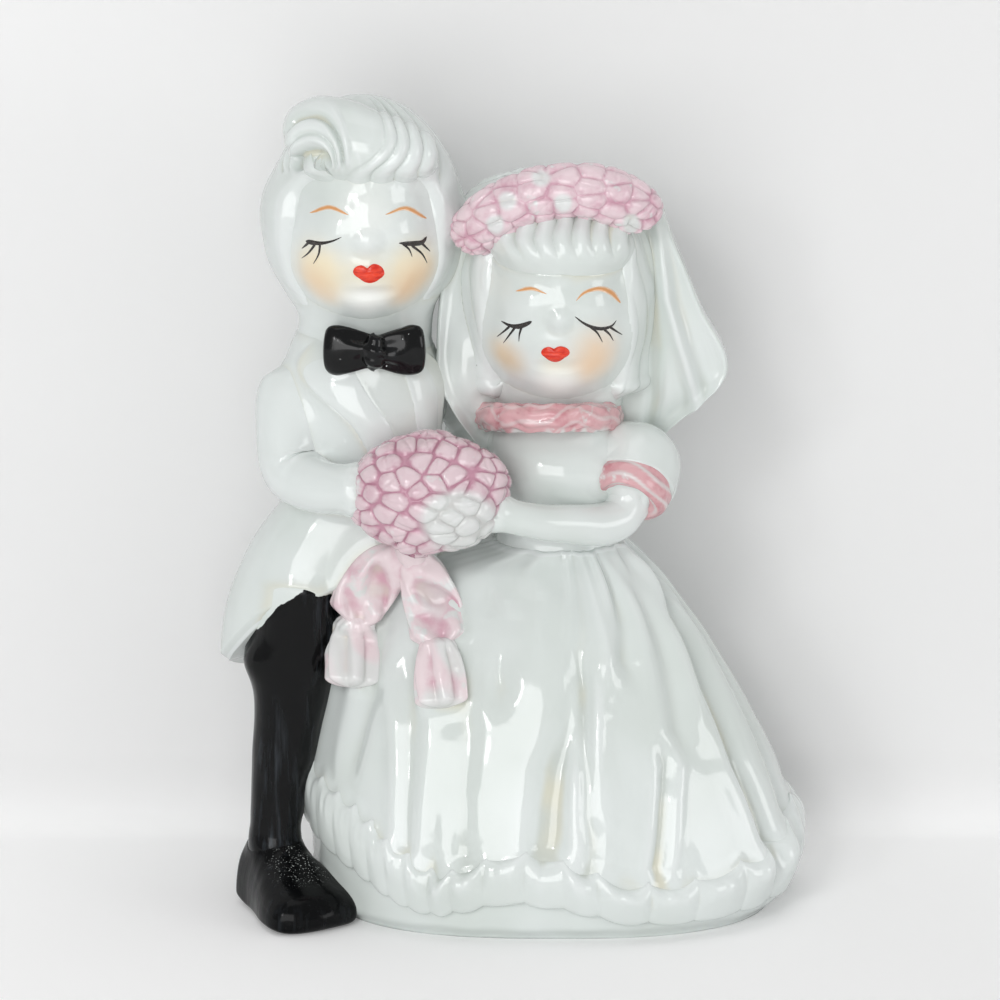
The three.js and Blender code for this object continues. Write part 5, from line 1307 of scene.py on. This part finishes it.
# The wreath and the bouquet: pads of clay with small petals pressed in side by side, washed with a
# pale pink that has run into the grooves between them.
WREATH_THICKNESS = 6.6
pink = washed("pink_wash", ink(192, 142, 160), ink(222, 200, 206), 0.1, 1.5)
pale_pink = washed("pale_pink_wash", ink(206, 160, 176), ink(230, 208, 214), 0.1, 1.1, 0.35, 0.4)


def petals(points, seeds, depth, groove):
    """Each seed raises a small dome, wider than it is high, over the points nearest to it, lower at
    corners far from it, and some have a fold across them. The grooves lie where the nearest and the
    second nearest seed are equally far. Gives the relief and how much a point lies in a groove."""
    flat = points.reshape(-1, 3) * [1, 1, 1.25]
    seeds = seeds * [1, 1, 1.25]
    far = np.linalg.norm(flat[:, None] - seeds[None], axis=-1)
    first = far.argmin(1)
    ordered = np.partition(far, 1, axis=1)
    border = ordered[:, 1] - ordered[:, 0]
    corner = smooth(2.5, 1.5, ordered[:, 0])
    dome = smooth(0, groove, border) * 0.6 * corner + 0.4 * smooth(0, 2.4, border)
    away = flat - seeds[first]
    slant = np.sin(first * 7.3)
    fold = np.abs(away[:, 0] * slant + away[:, 2] * np.sqrt(1 - slant**2))
    crease = 0.22 * np.exp(-((fold / 0.22) ** 2)) * (np.sin(first * 12.9) > 0.1) * smooth(0.2, 1, border)
    line = np.exp(-((border / 0.2) ** 2)) + 0.25 * (1 - corner)
    return (depth * (dome - 0.8 - crease)).reshape(points.shape[:2]), line.reshape(points.shape[:2])


def spiral(count, seed):
    """Directions spread evenly over a ball by the golden angle, each a little out of line."""
    rng = np.random.default_rng(seed)
    i = np.arange(count)
    up = 1 - (2 * i + 1) / count
    turn = i * (3 - 5**0.5) / 2 + rng.uniform(-0.02, 0.02, count)
    across = np.sqrt(1 - up**2)
    return np.stack([np.cos(turn * TURN) * across, np.sin(turn * TURN) * across, up], -1)


def bouquet_swell(turn, up):
    """The pad is a little lumpy, and drawn down to a point on its left where the ribbon is tied."""
    lump = 0.03 * np.sin(turn * TURN * 3 + up * 4)
    point = 0.1 * bell((up + 0.95) / 0.35) * bell(((turn - 0.66) % 1) / 0.16)
    return lump + point


grid = ball(BOUQUET, BOUQUET_SIZE * 0.985, 190, 340, bouquet_swell)
seeds = BOUQUET + spiral(128, 5) * BOUQUET_SIZE * 0.985 / 2
seeds += np.random.default_rng(2).uniform(-0.65, 0.65, seeds.shape)
relief, line = petals(grid, seeds, 0.6, 0.5)
px, py = seen(grid)
blossoms = smooth(36, 24, np.hypot((px - 459) / 1.25, py - 521))
grid += normals(grid, False)[0] * (relief + 0.3 * blossoms)[..., None]
section("bouquet_petals", ["bouquet"], grid, pink, "pink_glaze", joint=1, line=line, bare=blossoms)

WREATH = [
    (-1.2, 0.27, 0.48), (-0.86, 0.55, 0.82), (-0.46, 0.64, 0.99), (0.04, 0.68, 1.08),
    (0.52, 0.66, 1.05), (0.92, 0.52, 0.9), (1.12, 0.33, 0.7),
]
# share of the length, then the side and outward radii as shares of half the thickness
WREATH_RADII = [[0, 0.95, 0.9], [0.12, 1.1, 1], [0.5, 1.15, 1.05], [0.88, 1.15, 1], [1, 0.9, 0.8]]
route = [at_head(BRIDE_HEAD, BRIDE_HEAD_SIZE, *share) for share in WREATH]
radii = np.array(WREATH_RADII) * [1, WREATH_THICKNESS / 2, WREATH_THICKNESS / 2]
grid = limb(route, radii, 300, 200, ends=0.07)
rings = enumerate(length_shares(24)[1:-1, 0])
picks = [grid[int(300 * s), int(200 * ((k + 0.37 * i) / 9 % 1))] for i, s in rings for k in range(9)]
seeds = np.array(picks) + np.random.default_rng(8).uniform(-0.8, 0.8, (len(picks), 3))
relief, line = petals(grid, seeds, 0.5, 0.6)
px, py = seen(grid)
# the photograph's points of the buds that are left white
WHITE_BUDS = [(507, 205), (495, 228), (562, 207), (630, 228), (540, 182)]
bare = np.max([smooth(12, 6, np.hypot(px - x, py - y)) for x, y in WHITE_BUDS], 0)
grid += normals(grid, False)[0] * relief[..., None]
line = line * 0.6
section("wreath_petals", ["flower_wreath"], grid, pale_pink, "pink_glaze", joint=1, line=line, bare=bare)

# The veil: a sheet of clay laid over the back of the head, spread out stiffly on the right, with a
# rolled fold where it leaves the hair.
VEIL_HEIGHT, VEIL_SPAN, VEIL_DEPTH = 43, 41, 17
# share of the height, then the reach to the right, back, left and front
VEIL = [
    [0, 0.3, 0.85, 0.3, -0.2],
    [0.2, 0.78, 0.97, 0.62, -0.04],
    [0.375, 1.13, 1, 0.8, 0.06],
    [0.6, 0.95, 0.97, 0.8, 0.12],
    [0.8, 0.78, 0.9, 0.72, 0.14],
    [0.94, 0.64, 0.8, 0.62, 0.14],
    [1, 0.4, 0.5, 0.4, 0.1],
]
# the photograph's points down the rolled fold, and down the hollow beside it
VEIL_FOLD = [[205, 652], [240, 660], [300, 667], [340, 678], [390, 694], [440, 700]]
VEIL_HOLLOW = [[205, 640], [240, 647], [300, 652], [350, 656], [400, 655], [440, 648]]
turn = full_turn(280)
rise = np.linspace(0, 1, 160)[:, None]
right, back, left, front = read(VEIL, rise)
top = BRIDE_HEAD[2] + BRIDE_HEAD_SIZE[2] / 2
reach = (right * VEIL_SPAN / 2, back * VEIL_DEPTH, left * VEIL_SPAN / 2, front * VEIL_DEPTH)
grid = upright(BRIDE_X, 0, top - VEIL_HEIGHT * (1 - rise), reach, 2.6, turn)
edge = np.abs(grid[..., 0] - BRIDE_X) / (VEIL_SPAN / 2)
grid[..., 1] += np.sin(turn * TURN * 9) * 0.03 * VEIL_DEPTH * edge
px, py = seen(grid)
fold = px - np.interp(py, *np.array(VEIL_FOLD).T)
hollow = px - np.interp(py, *np.array(VEIL_HOLLOW).T)
front = smooth(4, 0, grid[..., 1])
grid[..., 1] -= front * (1.2 * bell(fold / 7) - 1.0 * bell(hollow / 7) + 0.5 * bell((fold - 22) / 9))
# the photograph's point where the lower left of the sheet bulges forward
BULGE = (458, 400)
grid[..., 1] -= front * 3.6 * bell((px - BULGE[0]) / 34) * bell((py - BULGE[1]) / 70)
folds = 0.35 * np.sin(turn * TURN * 17 + rise * 3) * smooth(3, 8, grid[..., 1])
grid += normals(capped(grid), False)[0][1:-1] * folds[..., None]
section("veil_sheet", ["bridal_veil"], capped(grid), white, "white_glaze", joint=1.4)

# The bow tie: a knot and two wings in black enamel, modelled by hand with folds that run in to the
# knot. The brush has skipped in places and the white glaze shows.
TIE = np.array([GROOM_X + COAT_WIDTH * 0.08, -COAT_DEPTH / 2 * 0.98, COAT_WAIST + COAT_HEIGHT * 0.93])
TIE_WIDTH, TIE_HEIGHT, TIE_THICKNESS = 14, 6.6, 3


def skipped(finish, streak, torn):
    """Enamel everywhere but in a few small spots, where the brush has skipped."""
    return 1 - finish.cloud(0.7, 3.0).step(0.7, 0.74) * finish.cloud(4, 1.0).step(0.5, 0.6)


# the last number sets the paler streaks, partly dry brush and partly painted sheen
tie_black = brushed("tie_enamel", skipped, 0.25, 0.1)


def wing_folds(turn, share):
    """Two folds that run out from the knot and fade before the end."""
    return -0.14 * np.cos(turn * TURN * 5 + 0.5) * (1 - smooth(0.2, 0.75, share))


# share of the length, then the side and outward radii as shares of half the height and thickness
WING_RADII = [[0, 0.6, 0.7], [0.25, 0.75, 1], [0.65, 1.05, 1.1], [0.88, 1, 1], [1, 0.72, 0.7]]
for name, side in (("left", -1), ("right", 1)):
    end, t = TIE_WIDTH / 2, TIE_THICKNESS / 2
    route = [TIE, TIE + [side * end / 2, t * 0.1, 0], TIE + [side * end, t / 2, 0]]
    grid = limb(route, np.array(WING_RADII) * [1, TIE_HEIGHT / 2, t], 90, 120, wing_folds)
    section(f"{name}_tie_wing", [f"bow_tie_{name}_wing"], grid, tie_black, "black_glaze", joint=0.6)
KNOT_SIZE = [3.2, 3.2, 5.2]
creased = lambda turn, up: 0.06 * np.cos(up * 9 + turn * TURN)
knot = ball(TIE - [0, TIE_THICKNESS * 0.3, 0], KNOT_SIZE, 90, 120, creased)
section("tie_knot", ["bow_tie_knot"], knot, tie_black, "black_glaze", joint=0.6)

# The ribbons: a knot under the bouquet, two loops and two tails, rolled out of clay, hollowed or
# grooved with a tool and laid on the coat and the skirt.
RIBBON_THICKNESS, LOOP_WIDTH, LOOP_LENGTH, TAIL_WIDTH = 3.2, 7.4, 12.4, 6.8
ribbon_pink = washed("ribbon_wash", ink(207, 162, 176), ink(232, 216, 219), 0.22, 1.8, 0.2, 1.4)


def front_of_dress(x, z):
    """How far forward the skirt or, above it, the coat lies."""
    rise = np.minimum(z / SKIRT_HEIGHT, 0.86)
    spread = read(SKIRT_SPREAD, rise)
    reach = (WAIST_WIDTH + (HEM_WIDTH - WAIST_WIDTH) * np.where(x > BRIDE_X, spread[0], spread[2])) / 2
    depth = (WAIST_DEPTH + (HEM_DEPTH - WAIST_DEPTH) * spread[3]) / 2
    square = read(SKIRT_SQUARE, rise)[0]
    share = np.minimum(np.abs(np.maximum(x, GROOM_X) - BRIDE_X) / reach, 0.98)
    skirt = -depth * (1 - share**square) ** (1 / square)
    coat = np.where(z > COAT_WAIST - 17, front_of_coat(x, 0 * z), 0)
    return np.minimum(skirt, coat)


def ribbon(start, end, bend, widths, relief, rows=120, around=120):
    """A flat limb laid over the dress from one place to another, bowed out to one side."""
    share = np.array([0, 0.33, 0.66, 1])
    x = start[0] + (end[0] - start[0]) * share + bend * np.sin(share * np.pi)
    z = start[2] + (end[2] - start[2]) * share
    route = np.stack([x, front_of_dress(x, z) - RIBBON_THICKNESS * 0.3, z], -1)
    radii = [[place, width / 2, RIBBON_THICKNESS / 2 * 1.15] for place, width in widths]
    return limb(route, radii, rows, around, relief, ends=0.12)


def rolled(turn, share):
    """The clay of the loop is not quite even."""
    return 0.03 * np.cos(turn * TURN * 7 + share * 9)


def pressed_in(rows, around):
    """How deep the bowl in the front of a loop is: 1 in its middle, falling to 0 at the rolled rim."""
    share, turn = length_shares(rows), full_turn(around)
    uneven = 0.18 * np.sin(turn * TURN * 3 + share * 14)
    far = np.hypot(np.cos(turn * TURN) - 0.15, (share - 0.62) / 0.5) + uneven
    return smooth(1, 0.2, far) * smooth(0, 0.7, np.sin(turn * TURN))


def pleated(turn, share):
    """Three pleats that spread towards the end."""
    fine = 0.03 * np.cos(turn * TURN * 12 + share * 5)
    return -0.16 * np.cos(turn * TURN * 6 + share * 1.5) * smooth(0.05, 0.3, share) - fine


knot_spot = np.array([BOUQUET[0] - 2.3, 0, BOUQUET[2] - 9.74])
y = front_of_dress(knot_spot[0], knot_spot[2])
RIBBON_KNOT_SIZE = [4.8, 5.1, 6.4]
lumpy = lambda turn, up: 0.04 * np.cos(turn * TURN * 5 + up * 3)
knot = ball([knot_spot[0], y - 1.6, knot_spot[2] + 0.96], RIBBON_KNOT_SIZE, 110, 140, lumpy)
section("ribbon_knot_clay", ["ribbon_knot"], knot, ribbon_pink, "pink_glaze", joint=1.1)
# how far across and down from the knot each ends, as shares of the loop's length
LOOPS = {"left": (-0.66, 0.84), "right": (0.3, 1)}
TAIL_ENDS = {"left": (-0.68, 1.56), "right": (0.34, 1.64)}
LOOP_SHARES = np.array([[0, 0.5], [0.3, 0.9], [0.6, 1.05], [0.9, 1], [1, 0.9]])
TAIL_SHARES = np.array([[0, 0.7], [0.5, 1], [1, 0.95]])
for side, (across, down) in LOOPS.items():
    end = knot_spot + [across * LOOP_LENGTH, 0, -down * LOOP_LENGTH]
    grid = ribbon(knot_spot, end, across * LOOP_WIDTH * 0.3, LOOP_SHARES * [1, LOOP_WIDTH], rolled)
    bowl = pressed_in(*grid.shape[:2])
    grid[..., 1] += 1.7 * bowl
    painted = 0.7 * (1 - bowl) * smooth(-0.6, 0.9, wobble(grid, 6, 3))
    missed = 0.7 * smooth(0.2, 0.8, bowl) * smooth(-0.7, 0.7, wobble(grid, 5, 9))
    tied = {"finish": ribbon_pink, "slot": "pink_glaze", "joint": 1.1}
    section(f"{side}_ribbon_loop", [f"ribbon_{side}_loop"], grid, line=painted, bare=missed, **tied)
    start = knot_spot + (end - knot_spot) * 0.94
    end = knot_spot + np.array([TAIL_ENDS[side][0], 0, -TAIL_ENDS[side][1]]) * LOOP_LENGTH
    grid = ribbon(start, end, 0, TAIL_SHARES * [1, TAIL_WIDTH], pleated)
    missed = 0.9 * smooth(-0.2, 0.8, wobble(grid, 8, 11) + (0.5 if side == "left" else 0.1))
    section(f"{side}_ribbon_tail", [f"ribbon_{side}_tail"], grid, bare=missed, **tied)

# The slip joints: every section is luted to its neighbours with slip, which leaves a soft fillet all
# round the joint, and the thick glaze rounds it further.


def joined(name):
    """Moves a section's skin out near its neighbours by a quarter of the joint's reach k times
    (1 - d/k)^2, d being the distance to them, and marks how much it has moved."""
    piece, grid, ring, reach = SECTIONS[name]
    low, high = grid.min((0, 1)) - reach, grid.max((0, 1)) + reach
    meets = []
    for other, (_, skin, other_ring, _) in SECTIONS.items():
        if other != name and (skin.min((0, 1)) < high).all() and (skin.max((0, 1)) > low).all():
            if not other_ring:
                skin = np.vstack([skin[:1], skin[1:-1:3], skin[-1:]])
            meets.append((skin[:: 3 if other_ring else 1, ::3], other_ring))
    if not meets:
        return None
    parts = [skin_mesh("part", skin, other_ring, True, False) for skin, other_ring in meets]
    points, loops, starts, count, used = [], [], [], 0, 0
    for part in parts:
        co = np.empty(len(part.vertices) * 3)
        part.vertices.foreach_get("co", co)
        index, start = np.empty(len(part.loops), int), np.empty(len(part.polygons), int)
        part.loops.foreach_get("vertex_index", index)
        part.polygons.foreach_get("loop_start", start)
        points.append(co)
        loops.append(index + count)
        starts.append(start + used)
        count, used = count + len(part.vertices), used + len(part.loops)
        bpy.data.meshes.remove(part)
    around = bpy.data.meshes.new("neighbours")
    around.vertices.add(count)
    around.vertices.foreach_set("co", np.concatenate(points))
    around.loops.add(used)
    around.loops.foreach_set("vertex_index", np.concatenate(loops))
    around.polygons.add(sum(map(len, starts)))
    around.polygons.foreach_set("loop_start", np.concatenate(starts))
    around.update(calc_edges=True)
    target = placed("neighbours", around)
    group = piece.vertex_groups.new(name="luted")
    group.add(list(range(len(piece.data.vertices))), 1.0, "REPLACE")
    near = piece.modifiers.new("near", "VERTEX_WEIGHT_PROXIMITY")
    near.vertex_group, near.target = "luted", target
    near.proximity_mode, near.proximity_geometry = "GEOMETRY", {"FACE"}
    near.min_dist, near.max_dist, near.falloff_type = reach * 0.001, 0, "SHARP"
    fillet = piece.modifiers.new("fillet", "DISPLACE")
    fillet.vertex_group, fillet.strength, fillet.mid_level = "luted", reach * 0.25 * 0.001, 0
    fresh = bpy.data.meshes.new_from_object(piece.evaluated_get(bpy.context.evaluated_depsgraph_get()))
    piece.modifiers.clear()
    piece.vertex_groups.clear()
    bpy.data.objects.remove(target)
    bpy.data.meshes.remove(around)
    before, after = np.empty((2, len(fresh.vertices) * 3))
    piece.data.vertices.foreach_get("co", before)
    fresh.vertices.foreach_get("co", after)
    moved = np.linalg.norm((after - before).reshape(-1, 3), axis=1) / (reach * 0.25 * 0.001)
    mark(fresh, "joint", moved)
    return fresh


for name in SECTIONS:
    fresh = joined(name)
    if fresh:
        SECTIONS[name][0].data = fresh

# The table and the light: a sheet of pale paper that bends up behind the figure, a soft key light from
# the upper left, a window on either side and a small bright pane that show in the glaze, a light from
# above, and an even pale room.
SWEEP_BEHIND, SWEEP_BEND = 33, 10
SWEEP_WIDTH, SWEEP_DEPTH, SWEEP_HEIGHT = 1200, 900, 300
angle = np.linspace(0, np.pi / 2, 40)
bend_start = SWEEP_BEHIND - SWEEP_BEND
flat = np.stack([np.linspace(-SWEEP_DEPTH, bend_start, 3), np.zeros(3)], -1)
bend = np.stack([bend_start + SWEEP_BEND * np.sin(angle), SWEEP_BEND * (1 - np.cos(angle))], -1)
wall = np.array([[SWEEP_BEHIND, SWEEP_HEIGHT]])
line = np.vstack([flat[:-1], bend, wall])
points = np.array([[x, y, z] for x in (-SWEEP_WIDTH / 2, SWEEP_WIDTH / 2) for y, z in line]) * 0.001
count = len(line)
mesh = bpy.data.meshes.new("sweep")
mesh.from_pydata(points.tolist(), [], [(i, i + count, i + count + 1, i + 1) for i in range(count - 1)])
mesh.polygons.foreach_set("use_smooth", np.ones(count - 1, bool))
sweep = placed("sweep", mesh)
paper = Finish("pale_paper", Roughness=0.9, Specular_IOR_Level=0)
facing_up = paper.node("SeparateXYZ", {}, {0: paper.node("NewGeometry", {}, {}, 1)}, 2)
facing_up = facing_up.math("ABSOLUTE", facing_up)
paper.colour(facing_up.mix(ink(228, 228, 228), ink(244, 244, 244)))
across = paper.node("SeparateXYZ", {}, {0: paper.place()}, 0)
in_bend = facing_up * (1 - facing_up) * 4
# what the camera sees of the paper is lifted a little, more on the flat and to the left, less in the bend
leftward = (0 - across * 0.012 - 0.1).step(0.0, 1.0)
lift = facing_up * 0.05 + leftward * 0.05 + 0.055 - in_bend * 0.07
mesh.materials.append(paper.material)
behind = paper.node("NewGeometry", {}, {}, 6)
camera_ray = paper.node("LightPath", {}, {}, 0)
paper.feed(paper.shader.inputs["Emission Color"], (lift * camera_ray).mix(ink(0, 0, 0), ink(255, 255, 255)))
paper.shader.inputs["Emission Strength"].default_value = 1
clear = paper.node("BsdfTransparent", {}, {})
lit = Wire(paper, paper.shader.outputs[0])
shown = paper.node("MixShader", {}, {0: behind * camera_ray, 1: lit, 2: clear})
paper.feed(paper.tree.nodes["Material Output"].inputs["Surface"], shown)
sweep.visible_shadow = False

world = bpy.data.worlds.new("room")
bpy.context.scene.world = world
world.use_nodes = True
nodes, links = world.node_tree.nodes, world.node_tree.links
path = nodes.new("ShaderNodeLightPath")
level = nodes.new("ShaderNodeMapRange")
level.inputs[3].default_value, level.inputs[4].default_value = 0.4, 0.8
links.new(path.outputs["Is Camera Ray"], level.inputs[0])
background = nodes["Background"]
background.inputs[0].default_value = (1, 1, 1, 1)
links.new(level.outputs[0], background.inputs[1])


def softbox(name, place, aim, size, watts, mirrored=True):
    """A flat soft light at a place, turned to its aim, that may or may not show in the glaze."""
    light = bpy.data.lights.new(name, "AREA")
    light.shape, light.size, light.size_y, light.energy = "RECTANGLE", size[0], size[1], watts
    lamp = placed(name, light)
    lamp.visible_camera, lamp.visible_glossy = False, mirrored
    turn_to(lamp, place, aim)


def turn_to(item, place, aim):
    """Stands a camera or a light at a place, level, looking at its aim."""
    item.location = place
    item.rotation_euler = (Vector(aim) - Vector(place)).to_track_quat("-Z", "Y").to_euler()


softbox("key_light", (-0.28, -0.93, 0.62), (0, 0, 0.06), (0.2, 0.2), 1.65, False)
softbox("left_window", (-0.2, -0.88, 0.22), (0, 0, 0.06), (0.62, 0.46), 2.7)
softbox("spark", (-0.42, -0.8, 0.42), (0, 0, 0.08), (0.09, 0.12), 0.38)
softbox("right_window", (0.8, -0.46, 0.2), (0, 0, 0.06), (0.36, 0.36), 1.0)
softbox("ceiling", (0, -0.1, 1.1), (0, 0, 0.05), (0.7, 0.7), 1.2)

CAMERA_DISTANCE = 1.6
camera = bpy.data.cameras.new("camera")
camera.sensor_width, camera.lens = 36, 417.6
eye = placed("camera", camera)
target = (np.array([-2.55, 0, 56.4]) + AXES) * 0.001
away = CAMERA_DISTANCE * np.array([0, -HEIGHT_SEEN, DEPTH_SEEN])
turn_to(eye, (target + away).tolist(), target.tolist())
bpy.context.scene.camera = eye
bpy.context.scene.view_settings.view_transform = "Standard"
